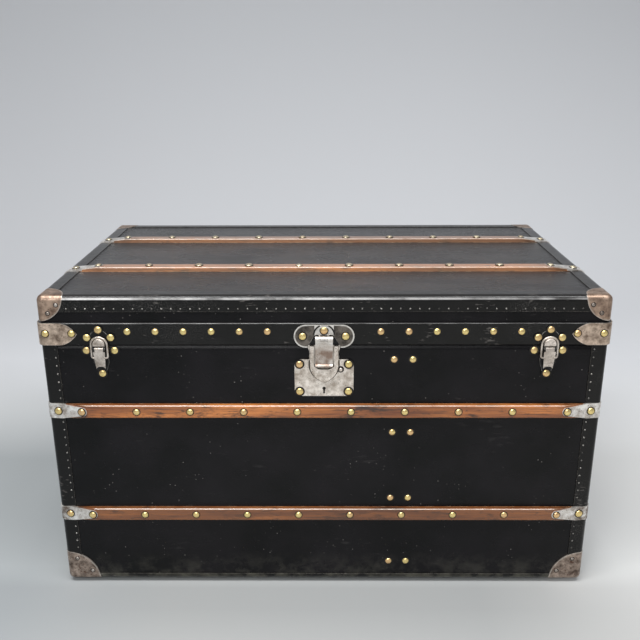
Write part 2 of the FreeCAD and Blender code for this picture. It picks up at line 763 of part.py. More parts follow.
def band_clamp():
    """The clamp round the right front corner of the band."""
    outer = lid_collar(BAND + CLAMP, LID_Z, BAND_TOP_Z)
    shell = outer.cut(lid_collar(BAND, LID_Z - OVERRUN, BAND_TOP_Z + OVERRUN))
    corner = Vector(HALF_X + BAND_OUT + CLAMP, -HALF_Y - BAND_OUT - CLAMP, LID_Z + BAND_HEIGHT / 2)
    depth = OVERRUN + EDGE_RADIUS + BAND + CLAMP
    shape = bullet(BAND_CLAMP_REACH, BAND_HEIGHT, BAND_CLAMP_NOSE)
    on_front = leg(shape, corner + FRONT * OVERRUN, RIGHT * -1, UP, FRONT * -depth)
    on_end = leg(shape, corner + RIGHT * OVERRUN, FRONT * -1, UP, RIGHT * -depth)
    return shell.common(on_front.fuse(on_end))


def make_lid_trims():
    """Angle strips on the top edges, ending at the steel corners and at the slats."""
    shell = lid_form(TRIM, LID_Z).cut(lid_form(0, LID_Z - OVERRUN))
    shell = shell.cut(corner_ball(LID_CORNER_REACH, LID_HALF_X, LID_HALF_Y, LID_TOP_Z))
    far = OVERRUN
    x, y = LID_HALF_X - LID_TRIM_LEG, LID_HALF_Y - LID_TRIM_LEG
    z = LID_TOP_Z - LID_TRIM_LEG
    front = shell.common(block(0, LID_HALF_X, -y, -HALF_Y - far, z, LID_TOP_Z + far))
    front = joined(across_x([front]))
    side = shell.common(block(x, HALF_X + far, 0, -LID_HALF_Y, z, LID_TOP_Z + far)).cut(top_slat_bed())
    side = joined(across_y([side]))
    save("lid_edge_trims", across_y([front]) + across_x([side]))


def make_lid_corners():
    """Rounded steel caps over the four top corners."""
    shell = lid_form(CORNER, LID_Z).cut(lid_form(0, LID_Z - OVERRUN))
    cap = shell.common(corner_ball(LID_CORNER_REACH, LID_HALF_X, LID_HALF_Y, LID_TOP_Z))
    save("lid_corners", across_y(across_x([cap])))


def top_slat_bed():
    """The space of the front slat on the lid, with square edges."""
    half_y = SLAT_WIDTH / 2
    return lid_profile(slat_knots(TOP_SLAT_HALF), -TOP_SLAT_Y - half_y, -TOP_SLAT_Y + half_y)


def top_slat():
    """The front slat on the lid, with eased long edges and sloping ends."""
    half_y = SLAT_WIDTH / 2
    near, far = -TOP_SLAT_Y - half_y, -TOP_SLAT_Y + half_y
    bar = block(-TOP_SLAT_HALF, TOP_SLAT_HALF, near, far, LID_TOP_Z, LID_TOP_Z + SLAT)
    edges = [e for e in bar.Edges if e.BoundBox.XLength > HALF_X and e.BoundBox.ZMin > LID_TOP_Z + SLAT / 2]
    return bar.makeFillet(SLAT_EASE, edges).common(top_slat_bed())


def top_clamp():
    """The clamp at the right end of the lid's front slat, folded onto the lid's end."""
    width = SLAT_WIDTH + 2 * SLAT_CLAMP_LAP
    near, back = -TOP_SLAT_Y - width / 2, -TOP_SLAT_Y + width / 2
    far = OVERRUN
    skin = lid_form(TRIM + CLAMP, LID_Z).common(block(0, HALF_X + far, near, back, LID_Z, LID_TOP_Z + far))
    room = skin.fuse(lid_profile(clamp_knots(TOP_SLAT_HALF), near, back)).cut(lid_form(TRIM, LID_Z - far))
    corner = Vector(LID_HALF_X + TRIM + CLAMP, -TOP_SLAT_Y, LID_TOP_Z + TRIM + CLAMP)
    depth = far + CLAMP + TRIM + EDGE_RADIUS
    on_top = leg(tongue(SLAT_CLAMP_REACH, width, SLAT_CLAMP_NOSE),
                 corner + UP * far, RIGHT * -1, FRONT, UP * -depth)
    on_end = leg(tongue(TOP_CLAMP_FOLD, width, CLAMP_FOLD_NOSE),
                 corner + RIGHT * far, UP * -1, FRONT, RIGHT * -depth)
    return room.common(on_top.fuse(on_end)).cut(top_slat())


def make_top_slats():
    """Two slats along the lid with their end clamps and nails."""
    save("lid_slats", across_y([top_slat()]))
    save("lid_slat_clamps", across_y(across_x([top_clamp()])))
    y, face = -TOP_SLAT_Y, LID_TOP_Z + SLAT
    wood = [head(NAIL_RADIUS, NAIL_RISE, Vector(x, y, face), UP) for x in slat_nail_places()]
    end = LID_HALF_X + TRIM + CLAMP
    steel = []
    for back in clamp_nail_places():
        place = Vector(end - back, y, LID_TOP_Z + clamp_level(TOP_SLAT_HALF, end - back))
        steel.append(head(NAIL_RADIUS, NAIL_RISE, place, UP + RIGHT * SLAT_SLOPE))
    low = LID_TOP_Z + TRIM + CLAMP - TOP_CLAMP_FOLD + SLAT_CLAMP_NAIL_BACK
    steel.append(head(NAIL_RADIUS, NAIL_RISE, Vector(end, y, low), RIGHT))
    save("lid_slat_nails", across_y(wood + across_x(steel)))


# Lock

def make_lock_plate():
    """The plate on the base with its neck, raised shield and keyhole. Returns its rivets."""
    half = LOCK_PLATE_WIDTH / 2
    neck = LOCK_NECK_WIDTH / 2
    top = -LOCK_TOP_CLEARANCE
    bend = LOCK_PLATE_CORNER
    flare = LOCK_NECK_FLARE
    drop = LOCK_FLARE_DROP
    wire = symmetric_outline((
        (0, top),
        (neck + flare, top),
        (neck + flare * (1 - DIAGONAL), top - drop * (1 - DIAGONAL), neck, top - drop),
        (neck, -LOCK_PLATE_TOP),
        (half - bend, -LOCK_PLATE_TOP),
        (half, -LOCK_PLATE_TOP - bend),
        (half, -LOCK_PLATE_BOTTOM + bend),
        (half - bend, -LOCK_PLATE_BOTTOM),
        (0, -LOCK_PLATE_BOTTOM),
    ))
    plate = front_prism(wire, 0, LOCK_PLATE, 0, OPEN_Z)
    shield = make_shield()
    keyhole = front_disc(KEYHOLE_RADIUS, -OVERRUN, OVERRUN, 0, OPEN_Z - KEYHOLE_DROP)
    slit = KEYHOLE_SLOT / 2
    low = OPEN_Z - KEYHOLE_DROP - KEYHOLE_LENGTH
    keyhole = keyhole.fuse(front_block(-slit, slit, -OVERRUN, OVERRUN, low, OPEN_Z - KEYHOLE_DROP))
    button = front_disc(BUTTON_RADIUS + BUTTON_CLEARANCE, -OVERRUN, OVERRUN, BUTTON_X, OPEN_Z - BUTTON_DROP)
    plate = joined([plate, shield]).cut(keyhole).cut(button).cut(staple_slot())
    save("lock_plate", [plate])
    x = half - LOCK_RIVET_INSET
    rivets = [front_head(x, LOCK_PLATE, OPEN_Z - drop, RIVET_RADIUS, RIVET_RISE)
              for drop in (LOCK_PLATE_TOP + LOCK_RIVET_INSET, LOCK_PLATE_BOTTOM - LOCK_RIVET_INSET)]
    return across_x(rivets)


def make_shield():
    """The raised shield with the slot that the hasp closes into."""
    half = SHIELD_WIDTH / 2
    bulge = half * SHIELD_BULGE_SHARE
    drop = SHIELD_SHOULDER + (SHIELD_TIP - SHIELD_SHOULDER) * SHIELD_BULGE_SHARE
    wire = symmetric_outline((
        (0, -LOCK_TOP_CLEARANCE),
        (half, -LOCK_TOP_CLEARANCE),
        (half, -SHIELD_SHOULDER),
        (bulge, -drop + SHIELD_EASE, 0, -SHIELD_TIP),
    ))
    body = front_prism(wire, LOCK_PLATE, LOCK_PLATE + SHIELD, 0, OPEN_Z)
    slot = HASP_WIDTH / 2 + HASP_SLOT_PLAY
    end = HASP_END_DROP + HASP_LIP_DROP
    arch = symmetric_outline((
        (0, OVERRUN),
        (slot, OVERRUN),
        (slot, -end),
        (slot * DIAGONAL, -end - SHIELD_SLOT_ARCH * DIAGONAL, 0, -end - SHIELD_SLOT_ARCH),
    ))
    raised = [e for e in body.Edges if e.BoundBox.YMax < -HALF_Y - LOCK_PLATE - SHIELD / 2]
    below_top = OPEN_Z - LOCK_TOP_CLEARANCE - SHIELD_EASE
    body = body.makeFillet(SHIELD_EASE, [e for e in raised if e.BoundBox.ZMin < below_top])
    return body.cut(front_prism(arch, LOCK_PLATE, LOCK_PLATE + SHIELD + OVERRUN, 0, OPEN_Z))


def make_lock_case():
    """The case in the front board, open behind the plate's wide part, and the bolt that slides in it."""
    half = CASE_WIDTH / 2
    depth = CANVAS + BASE_BOARD
    low, top = OPEN_Z - CASE_BOTTOM, OPEN_Z - CASE_TOP
    case = front_block(-half, half, -CANVAS, -depth, low, top)
    wall = CASE_WALL
    room = front_block(-half + wall, half - wall, -CANVAS - wall, -depth + wall, low + wall, top - wall)
    under = OPEN_Z - LOCK_PLATE_TOP - wall
    mouth = front_block(-half + wall, half - wall, 0, -depth + wall, low + wall, under)
    slot = staple_slot().common(front_block(-half, half, OVERRUN, -depth + wall, low, OPEN_Z))
    save("lock_case", [case.cut(room).cut(mouth).cut(slot)])
    z = OPEN_Z - STAPLE_DROP
    front, back = eye_depths()
    nose = front_block(BOLT_START, BOLT_START + BOLT_WIDTH, -front - BOLT_PLAY, -back + BOLT_PLAY,
                       z - BOLT_HEIGHT / 2, z + BOLT_HEIGHT / 2)
    right = BOLT_START + BOLT_WIDTH
    tail = front_block(right - BOLT_TAIL_WIDTH, right, -back + BOLT_PLAY, -depth + wall + BOLT_PLAY,
                       z + BOLT_HEIGHT / 2 - BOLT_TAIL_LENGTH, z + BOLT_HEIGHT / 2)
    save("lock_bolt", [joined([nose, tail])])


def eye_depths():
    """How far behind the base's face the staple's eye begins and ends."""
    return CANVAS + CASE_WALL, STAPLE_DEPTH - STAPLE_WALL


def make_button():
    """The release button: a round stem with a flange behind the plate."""
    z = OPEN_Z - BUTTON_DROP
    tip = LOCK_PLATE + BUTTON_OUT
    stem = front_disc(BUTTON_RADIUS, -BUTTON_IN, tip, BUTTON_X, z)
    bend = BUTTON_OUT / 2
    stem = stem.makeFillet(bend, [e for e in stem.Edges if e.BoundBox.YMax < -HALF_Y - tip + bend])
    flange = front_disc(BUTTON_FLANGE_RADIUS, -BUTTON_FLANGE, 0, BUTTON_X, z)
    save("release_button", [joined([stem, flange])])


def make_hasp_plate():
    """The plate on the band with two round ears, a raised tab and the hinge lug. Returns its rivets."""
    out = BAND_OUT
    face = out + HASP_PLATE
    middle = OPEN_Z + HASP_EAR_RISE
    ears = [front_disc(HASP_EAR_RADIUS, out, face, sign * HASP_EAR_X, middle) for sign in SIGNS]
    top = middle + HASP_EAR_RADIUS
    bar = front_block(-HASP_EAR_X, HASP_EAR_X, out, face, LID_Z, top)
    plate = joined(ears + [bar])
    room = SHIELD_WIDTH / 2 + HASP_SLOT_PLAY
    low = LID_Z - HASP_EAR_RADIUS
    plate = plate.cut(front_block(-room, room, out - OVERRUN, face + OVERRUN, low, LID_Z))
    strap = HASP_WIDTH / 2
    web = HASP_WEB_WIDTH / 2
    wedge = outline(((web, HASP_TAB_LOW), (strap, HASP_TAB_LOW), (room, LID_GAP), (web, LID_GAP)))
    wedge = front_prism(wedge, out - OVERRUN, face + OVERRUN, 0, OPEN_Z)
    for shape in across_x([wedge]):
        plate = plate.cut(shape)
    seat = face + HASP_TAB - HASP_TAB_RECESS
    tab = front_prism(tab_outline(0), face, face + HASP_TAB, 0, OPEN_Z)
    tab = tab.cut(front_prism(tab_outline(HASP_TAB_RIM), seat, seat + OVERRUN, 0, OPEN_Z))
    z = OPEN_Z + HASP_AXIS_RISE
    half = HASP_LUG_WIDTH / 2
    lug = cross_rod(HASP_KNUCKLE_RADIUS, -half, half, HASP_AXIS_OUT, z)
    foot = front_block(-half, half, face, HASP_AXIS_OUT, z - HASP_KNUCKLE_RADIUS, z + HASP_KNUCKLE_RADIUS)
    bore = cross_rod(HASP_PIN_RADIUS, -strap, strap, HASP_AXIS_OUT, z)
    save("hasp_plate", [joined([plate, tab, lug, foot]).cut(bore)])
    save("hasp_pin", [bore])
    rivets = [front_head(sign * HASP_RIVET_X, face, middle, RIVET_RADIUS, RIVET_RISE) for sign in SIGNS]
    rivets.append(front_head(0, seat, OPEN_Z + HASP_TAB_RIVET_RISE, RIVET_RADIUS, RIVET_RISE))
    return rivets


def tab_outline(rim):
    """The round-topped outline of the tab above the hasp's hinge, or of the recess inside its rim."""
    half = HASP_TAB_WIDTH / 2 - rim
    rise = HASP_TAB_TOP - HASP_TAB_LOW - rim
    return symmetric_outline((
        (0, HASP_TAB_LOW + rise),
        (half * DIAGONAL, HASP_TAB_LOW + rise * DIAGONAL, half, HASP_TAB_LOW),
        (0, HASP_TAB_LOW),
    ))


def make_hasp():
    """The hasp: a knuckle, a strap that bends in to the shield and ends in a lip, and a staple behind."""
    axis_z = OPEN_Z + HASP_AXIS_RISE
    half = HASP_WIDTH / 2
    radius = HASP_KNUCKLE_RADIUS
    front = HASP_AXIS_OUT + radius
    back = LOCK_PLATE + HASP_STANDOFF
    face = back + HASP_THICK
    knee = OPEN_Z + HASP_KNEE_RISE
    end = OPEN_Z - HASP_END_DROP
    lip = face + HASP_LIP_OUT
    strap = profile_prism((
        (front, axis_z),
        (face, knee),
        (face, end),
        (lip, end - HASP_LIP_DROP / 2),
        (lip, end - HASP_LIP_DROP),
        (back, end - HASP_LIP_DROP / 2),
        (back, knee),
        (HASP_AXIS_OUT - radius / 2, axis_z - radius),
        (HASP_AXIS_OUT, axis_z),
    ), -half, half)
    knuckle = cross_rod(radius, -half, half, HASP_AXIS_OUT, axis_z)
    far = half + OVERRUN
    bore = cross_rod(HASP_PIN_RADIUS + PIN_CLEARANCE, -far, far, HASP_AXIS_OUT, axis_z)
    z = OPEN_Z - STAPLE_DROP
    wide = STAPLE_WIDTH / 2
    tall = STAPLE_HEIGHT / 2
    staple = front_block(-wide, wide, back, -STAPLE_DEPTH, z - tall, z + tall)
    eye_front, eye_back = eye_depths()
    eye = front_block(-wide - OVERRUN, wide + OVERRUN, -eye_front, -eye_back,
                      z - BOLT_HEIGHT / 2 - BOLT_PLAY, z + BOLT_HEIGHT / 2 + BOLT_PLAY)
    notch = HASP_LUG_WIDTH / 2 + HASP_LUG_PLAY
    reach = radius + HASP_LUG_PLAY
    room = cross_rod(reach, -notch, notch, HASP_AXIS_OUT, axis_z)
    room = room.fuse(front_block(-notch, notch, 0, HASP_AXIS_OUT, axis_z - reach, axis_z + reach))
    save("lock_hasp", [joined([strap, knuckle, staple.cut(eye)]).cut(bore).cut(room)])


# Toggle catches

def catch_keeper(x):
    """The three-lobed plate on the band with the round nose that the bail pulls on."""
    out = BAND_OUT
    face = out + CATCH_PLATE
    places = [(0, KEEPER_TOP_RIVET), (-KEEPER_SIDE_RIVET_X, KEEPER_SIDE_RIVET_RISE),
              (KEEPER_SIDE_RIVET_X, KEEPER_SIDE_RIVET_RISE)]
    discs = [front_disc(CATCH_LOBE_RADIUS, out, face, x + px, OPEN_Z + pz) for px, pz in places]
    middle = front_disc(KEEPER_RADIUS, out, face, x, OPEN_Z + KEEPER_RISE)
    plate = joined([middle] + discs)
    plate = plate.cut(front_block(x - BODY_WIDTH, x + BODY_WIDTH, out - OVERRUN, face + OVERRUN,
                                  LID_Z - KEEPER_RADIUS, LID_Z))
    side = NOSE_RADIUS
    bend = side * DIAGONAL
    spring = NOSE_TOP - side
    wire = symmetric_outline((
        (0, NOSE_TOP),
        (bend, spring + bend, side, spring),
        (side, LID_GAP),
        (0, LID_GAP),
    ))
    nose = front_prism(wire, face, NOSE_OUT, x, OPEN_Z)
    tip = -HALF_Y - NOSE_OUT
    nose = nose.makeFillet(NOSE_EASE, [e for e in nose.Edges if e.BoundBox.YMax < tip + NOSE_EASE])
    rivets = [front_head(x + px, face, OPEN_Z + pz, RIVET_RADIUS, RIVET_RISE) for px, pz in places]
    return joined([plate, nose]), rivets


def catch_plate(x):
    """The plate on the base with two ears, a tail and the lugs that carry the lever."""
    face = CATCH_PLATE
    side = OPEN_Z - CATCH_SIDE_RIVET_DROP
    tail = OPEN_Z - CATCH_TAIL_RIVET_DROP
    half = CATCH_BODY_WIDTH / 2
    lobe = CATCH_LOBE_RADIUS
    ear = CATCH_SIDE_RIVET_X
    ears = [front_disc(lobe, 0, face, x + sign * ear, side) for sign in SIGNS]
    bar = front_block(x - ear, x + ear, 0, face, side - lobe / 2, side + lobe / 2)
    wire = symmetric_outline((
        (0, -CATCH_BODY_TOP),
        (half, -CATCH_BODY_TOP),
        (half, -CATCH_BODY_LOW),
        (lobe, -CATCH_TAIL_RIVET_DROP),
        (0, -CATCH_TAIL_RIVET_DROP),
    ))
    body = front_prism(wire, 0, face, x, OPEN_Z)
    end = front_disc(lobe, 0, face, x, tail)
    z = OPEN_Z - LEVER_AXIS_DROP
    radius = LEVER_KNUCKLE_RADIUS
    outer = LEVER_TOP_WIDTH / 2
    inner = outer - LEVER_LUG_WIDTH
    lugs = []
    for sign in SIGNS:
        lug = cross_rod(radius, x + sign * inner, x + sign * outer, LEVER_AXIS_OUT, z)
        foot = front_block(x + sign * inner, x + sign * outer, 0, LEVER_AXIS_OUT, z - radius, z + radius)
        lugs.append(lug.fuse(foot))
    bore = cross_rod(LEVER_PIN_RADIUS, x - outer - OVERRUN, x + outer + OVERRUN, LEVER_AXIS_OUT, z)
    plate = joined(ears + [bar, body, end] + lugs).cut(bore)
    pin = cross_rod(LEVER_PIN_RADIUS, x - outer, x + outer, LEVER_AXIS_OUT, z)
    places = [(-ear, side), (ear, side), (0, tail)]
    rivets = [front_head(x + px, face, pz, RIVET_RADIUS, RIVET_RISE) for px, pz in places]
    return plate, pin, rivets


def catch_lever(x):
    """The lever: a knuckle on the pin and a tapering tongue with a hollow end and holes for the bail."""
    z = OPEN_Z - LEVER_AXIS_DROP
    inner = LEVER_TOP_WIDTH / 2 - LEVER_LUG_WIDTH - LEVER_LUG_GAP
    radius = LEVER_KNUCKLE_RADIUS
    knuckle = cross_rod(radius, x - inner, x + inner, LEVER_AXIS_OUT, z)
    top = LEVER_TOP_WIDTH / 2
    end = LEVER_END_WIDTH / 2
    plan = symmetric_outline((
        (0, -LEVER_AXIS_DROP),
        (inner, -LEVER_AXIS_DROP),
        (inner, -LEVER_SHOULDER_DROP),
        (top, -LEVER_SHOULDER_DROP),
        (end, -LEVER_END_DROP),
        (end * DIAGONAL, -LEVER_END_DROP + LEVER_END_HOLLOW * DIAGONAL,
         0, -LEVER_END_DROP + LEVER_END_HOLLOW),
    ))
    tongue = front_prism(plan, 0, LEVER_FRONT_OUT + OVERRUN, x, OPEN_Z)
    back = LEVER_BACK_OUT
    foot = OPEN_Z - LEVER_END_DROP
    section = profile_prism((
        (LEVER_AXIS_OUT - radius, z),
        (LEVER_AXIS_OUT + radius, z),
        (LEVER_FRONT_OUT, OPEN_Z - LEVER_SHOULDER_DROP),
        (back + LEVER_END_THICK, foot),
        (back, foot),
    ), x - top, x + top)
    body = joined([knuckle, tongue.common(section)])
    bore = cross_rod(LEVER_PIN_RADIUS + PIN_CLEARANCE, x - top, x + top, LEVER_AXIS_OUT, z)
    eye = BAIL_WIRE / 2 + PIN_CLEARANCE
    pivot_z = OPEN_Z - BAIL_PIVOT_DROP
    deep = BAIL_ARCH_RADIUS - BAIL_WIRE - BAIL_GRIP
    far = top + OVERRUN
    holes = [cross_rod(eye, x + sign * deep, x + sign * far, BAIL_OUT, pivot_z) for sign in SIGNS]
    return body.cut(bore).cut(holes[0]).cut(holes[1])


def catch_bail(x):
    """The wire bail: in-turned ends in the lever, two legs and an arch over the nose."""
    y = -HALF_Y - BAIL_OUT
    radius = BAIL_ARCH_RADIUS
    low = OPEN_Z - BAIL_PIVOT_DROP
    crown = OPEN_Z + NOSE_TOP + BAIL_NOSE_GAP + BAIL_WIRE / 2
    spring = crown - radius
    wire = BAIL_WIRE / 2
    bend = BAIL_WIRE
    tip = radius - BAIL_WIRE - BAIL_GRIP + PIN_CLEARANCE
    elbow = bend * (1 - DIAGONAL)

    def at(px, pz):
        return Vector(x + px, y, pz)

    return tube([
        line(at(-tip, low), at(-radius + bend, low)),
        arc(at(-radius + bend, low), at(-radius + elbow, low + elbow), at(-radius, low + bend)),
        line(at(-radius, low + bend), at(-radius, spring)),
        arc(at(-radius, spring), at(0, crown), at(radius, spring)),
        line(at(radius, spring), at(radius, low + bend)),
        arc(at(radius, low + bend), at(radius - elbow, low + elbow), at(radius - bend, low)),
        line(at(radius - bend, low), at(tip, low)),
    ], wire)


def tube(edges, radius):
    """A round bar along a path of lines and arcs."""
    path = Part.Wire(edges)
    start = path.Edges[0]
    ring = Part.Circle(start.valueAt(start.FirstParameter), start.tangentAt(start.FirstParameter), radius)
    return path.makePipeShell([Part.Wire([ring.toShape()])], True, False)


def make_catches():
    """Both toggle catches, left and right of the lock. Returns the rivets on the lid and on the base."""
    rivets_on_lid, rivets_on_base, pins = [], [], []
    for name, x in (("left", -CATCH_X), ("right", CATCH_X)):
        keeper, keeper_rivets = catch_keeper(x)
        plate, pin, plate_rivets = catch_plate(x)
        save("catch_keeper_" + name, [keeper])
        save("catch_plate_" + name, [plate])
        save("catch_lever_" + name, [catch_lever(x)])
        save("catch_bail_" + name, [catch_bail(x)])
        rivets_on_lid += keeper_rivets
        rivets_on_base += plate_rivets
        pins.append(pin)
    save("catch_pins", pins)
    return rivets_on_lid, rivets_on_base


# Back hinges

def hinge_places():
    """Positions along X of the hinges."""
    return evenly(HINGE_INSET - HALF_X, HALF_X - HINGE_INSET, HINGES)


def make_hinges():
    """Hinges on the back: leaves on the base and on the band, knuckles and pins. Returns their rivets."""
    axis_out = BAND_OUT + HINGE_BAND_GAP + HINGE_KNUCKLE_RADIUS
    z = OPEN_Z + LID_GAP / 2
    radius = HINGE_KNUCKLE_RADIUS
    half = HINGE_WIDTH / 2
    inner = half * HINGE_KNUCKLE_SHARE
    base_leaves, lid_leaves, pins = [], [], []
    rivets_on_lid, rivets_on_base = [], []
    for x in hinge_places():
        bore = cross_rod(HINGE_PIN_RADIUS, x - half - OVERRUN, x + half + OVERRUN, axis_out, z)
        leaf = hinge_leaf(x, half, 0, OPEN_Z - HINGE_LEAF_DROP, OPEN_Z)
        pieces = [leaf]
        for sign in SIGNS:
            start, end = x + sign * inner, x + sign * half
            pieces.append(cross_rod(radius, start, end, axis_out, z))
            pieces.append(front_block(start, end, 0, axis_out, z - radius, OPEN_Z))
        base_leaves.append(joined(pieces).cut(bore))
        low = z + radius + HINGE_BAND_GAP
        leaf = hinge_leaf(x, half, BAND_OUT, low, BAND_TOP_Z - HINGE_LEAF_MARGIN)
        start, end = x - inner + HINGE_KNUCKLE_GAP, x + inner - HINGE_KNUCKLE_GAP
        knuckle = cross_rod(radius, start, end, axis_out, z)
        web = front_block(start, end, BAND_OUT, axis_out, z, low)
        running = cross_rod(HINGE_PIN_RADIUS + PIN_CLEARANCE, start, end, axis_out, z)
        lid_leaves.append(joined([leaf, knuckle, web]).cut(running))
        pins.append(cross_rod(HINGE_PIN_RADIUS, x - half, x + half, axis_out, z))
        for side in (x - half / 2, x + half / 2):
            above = (low + BAND_TOP_Z - HINGE_LEAF_MARGIN) / 2
            rivets_on_lid.append(front_head(side, BAND_OUT + HINGE_LEAF, above, RIVET_RADIUS, RIVET_RISE))
            below = OPEN_Z - HINGE_LEAF_DROP / 2 - RIVET_RADIUS
            rivets_on_base.append(front_head(side, HINGE_LEAF, below, RIVET_RADIUS, RIVET_RISE))
    save("hinge_base_leaves", to_back(base_leaves))
    save("hinge_lid_leaves", to_back(lid_leaves))
    save("hinge_pins", to_back(pins))
    return to_back(rivets_on_lid), to_back(rivets_on_base)


def hinge_leaf(x, half, out, low, top):
    """A flat leaf with two round corners away from the knuckles, modelled at the front."""
    leaf = front_block(x - half, x + half, out, out + HINGE_LEAF, low, top)
    away = low if out == 0 else top
    through = [e for e in leaf.Edges if e.BoundBox.YLength > HINGE_LEAF / 2]
    corners = [e for e in through if abs(e.BoundBox.ZMin - away) < HINGE_LEAF]
    return leaf.makeFillet(HINGE_LEAF_CORNER, corners)


# Drop handles

def handle_bracket(y):
    """A bracket on the right end: a round-cornered plate with an eye for the handle."""
    z = BASE_Z + HANDLE_HEIGHT
    wide = BRACKET_WIDTH / 2
    tall = BRACKET_HEIGHT / 2
    plate = block(HALF_X, HALF_X + BRACKET, y - wide, y + wide, z - tall, z + tall)
    plate = plate.makeFillet(BRACKET_CORNER, [e for e in plate.Edges if e.BoundBox.XLength > BRACKET / 2])
    axis = HALF_X + HANDLE_AXIS_OUT
    eye_y = BRACKET_EYE_WIDTH / 2
    eye = rod(BRACKET_EYE_RADIUS, Vector(axis, y - eye_y, z), Vector(axis, y + eye_y, z))
    foot = block(HALF_X, axis, y - eye_y, y + eye_y, z - BRACKET_EYE_RADIUS, z + BRACKET_EYE_RADIUS)
    run = HANDLE_ROD_RADIUS + PIN_CLEARANCE
    bore = rod(run, Vector(axis, y - OVERRUN, z), Vector(axis, y + OVERRUN, z))
    return joined([plate, eye, foot]).cut(bore)


def drop_handle():
    """The handle on the right end: out-turned stubs, two arms and a swelling grip."""
    x = HALF_X + HANDLE_AXIS_OUT
    z = BASE_Z + HANDLE_HEIGHT
    arm = HANDLE_ARM_SPAN / 2
    stub = HANDLE_SPAN / 2 + BRACKET_EYE_WIDTH / 2 + HANDLE_STUB_END
    low = z - HANDLE_DROP
    bend = HANDLE_BEND
    elbow = bend * (1 - DIAGONAL)

    def at(y, pz):
        return Vector(x, y, pz)

    bar = tube([
        line(at(-stub, z), at(-arm - bend, z)),
        arc(at(-arm - bend, z), at(-arm - elbow, z - elbow), at(-arm, z - bend)),
        line(at(-arm, z - bend), at(-arm, low + bend)),
        arc(at(-arm, low + bend), at(-arm + elbow, low + elbow), at(-arm + bend, low)),
        line(at(-arm + bend, low), at(arm - bend, low)),
        arc(at(arm - bend, low), at(arm - elbow, low + elbow), at(arm, low + bend)),
        line(at(arm, low + bend), at(arm, z - bend)),
        arc(at(arm, z - bend), at(arm + elbow, z - elbow), at(arm + bend, z)),
        line(at(arm + bend, z), at(stub, z)),
    ], HANDLE_ROD_RADIUS)
    grip = HANDLE_GRIP_LENGTH / 2
    straight = grip - HANDLE_GRIP_TAPER
    pieces = [bar, rod(HANDLE_GRIP_RADIUS, at(-straight, low), at(straight, low))]
    for sign in SIGNS:
        pieces.append(Part.makeCone(HANDLE_GRIP_RADIUS, HANDLE_ROD_RADIUS, HANDLE_GRIP_TAPER,
                                    at(sign * straight, low), Vector(0, sign, 0)))
    return joined(pieces)


def make_handles():
    """A drop handle and two brackets on each end. Returns the bracket rivets."""
    brackets = across_y([handle_bracket(HANDLE_SPAN / 2)])
    save("handle_brackets", across_x(brackets))
    handle = drop_handle()
    save("handle_right", [handle])
    save("handle_left", [mirrored(handle, Vector(1, 0, 0))])
    z = BASE_Z + HANDLE_HEIGHT
    reach = (BRACKET_HEIGHT / 2 + BRACKET_EYE_RADIUS) / 2
    places = [Vector(HALF_X + BRACKET, HANDLE_SPAN / 2, z + sign * reach) for sign in SIGNS]
    return across_y(across_x([head(RIVET_RADIUS, RIVET_RISE, place, RIGHT) for place in places]))


def main():
    os.makedirs("parts", exist_ok=True)
    make_base_boards()
    make_base_covers()
    make_rim()
    make_runners()
    make_base_trims()
    make_base_corners()
    make_slats()
    make_lid_boards()
    make_lid_covers()
    make_band()
    make_lid_trims()
    make_lid_corners()
    make_top_slats()
    make_lock_case()
    make_button()
    make_hasp()
    catch_lid_rivets, catch_base_rivets = make_catches()
    hinge_lid_rivets, hinge_base_rivets = make_hinges()
    save("lid_rivets", make_hasp_plate() + catch_lid_rivets + hinge_lid_rivets)
    base_rivets = make_divider() + make_lock_plate() + make_handles()
    save("base_rivets", base_rivets + catch_base_rivets + hinge_base_rivets)


main()
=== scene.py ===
import math
import random

import bpy
import numpy as np
from mathutils import Matrix, Vector, noise
from mathutils.bvhtree import BVHTree


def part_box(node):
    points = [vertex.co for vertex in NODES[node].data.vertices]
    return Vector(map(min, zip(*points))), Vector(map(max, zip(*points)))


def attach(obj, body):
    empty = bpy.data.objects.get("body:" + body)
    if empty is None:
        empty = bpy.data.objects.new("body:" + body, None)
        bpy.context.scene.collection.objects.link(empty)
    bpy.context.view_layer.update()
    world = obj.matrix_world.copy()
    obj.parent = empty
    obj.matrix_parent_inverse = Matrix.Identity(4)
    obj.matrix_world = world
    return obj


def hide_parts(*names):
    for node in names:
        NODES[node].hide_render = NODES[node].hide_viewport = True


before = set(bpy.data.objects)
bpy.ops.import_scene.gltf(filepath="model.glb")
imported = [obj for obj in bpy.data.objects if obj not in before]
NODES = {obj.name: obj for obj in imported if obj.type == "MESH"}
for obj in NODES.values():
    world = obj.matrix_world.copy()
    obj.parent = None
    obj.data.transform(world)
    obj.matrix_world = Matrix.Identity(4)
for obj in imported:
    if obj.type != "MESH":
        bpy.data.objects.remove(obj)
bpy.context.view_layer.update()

# The looks of a flat-topped travelling trunk: finishes for every piece, canvas and lining as stretched
# cloth, domed nails in dark rings of dirt and painted shade, small tacks, painted shade and dirt along the
# lock's edges, and a plain studio whose floor holds painted shadows and light. Metres, front towards -Y.

MM = 0.001
RANDOM_SEED = 7
SIGNS = (-1, 1)
UP = Vector((0, 0, 1))
BACKWARD = Vector((0, 1, 0))

# Height of the joint between base and lid
OPEN_Z = 501 * MM

# Cloth
CANVAS = 0.9 * MM
CANVAS_SWELL = 0.4 * MM
CANVAS_RADIUS = 9 * MM
CANVAS_WEAVE = 1.4 * MM
LINING = 0.7 * MM
LINING_SWELL = 0.25 * MM
LINING_RADIUS = 2 * MM
LINING_WEAVE = 2.4 * MM
CLOTH_STEP = 12 * MM
CLOTH_NEAR = 3 * MM
CLOTH_HOLD = 20 * MM
CLOTH_WAVES = Vector((7, 16, 16))
EDGE_STEPS = 4
KEY_DIGITS = 6
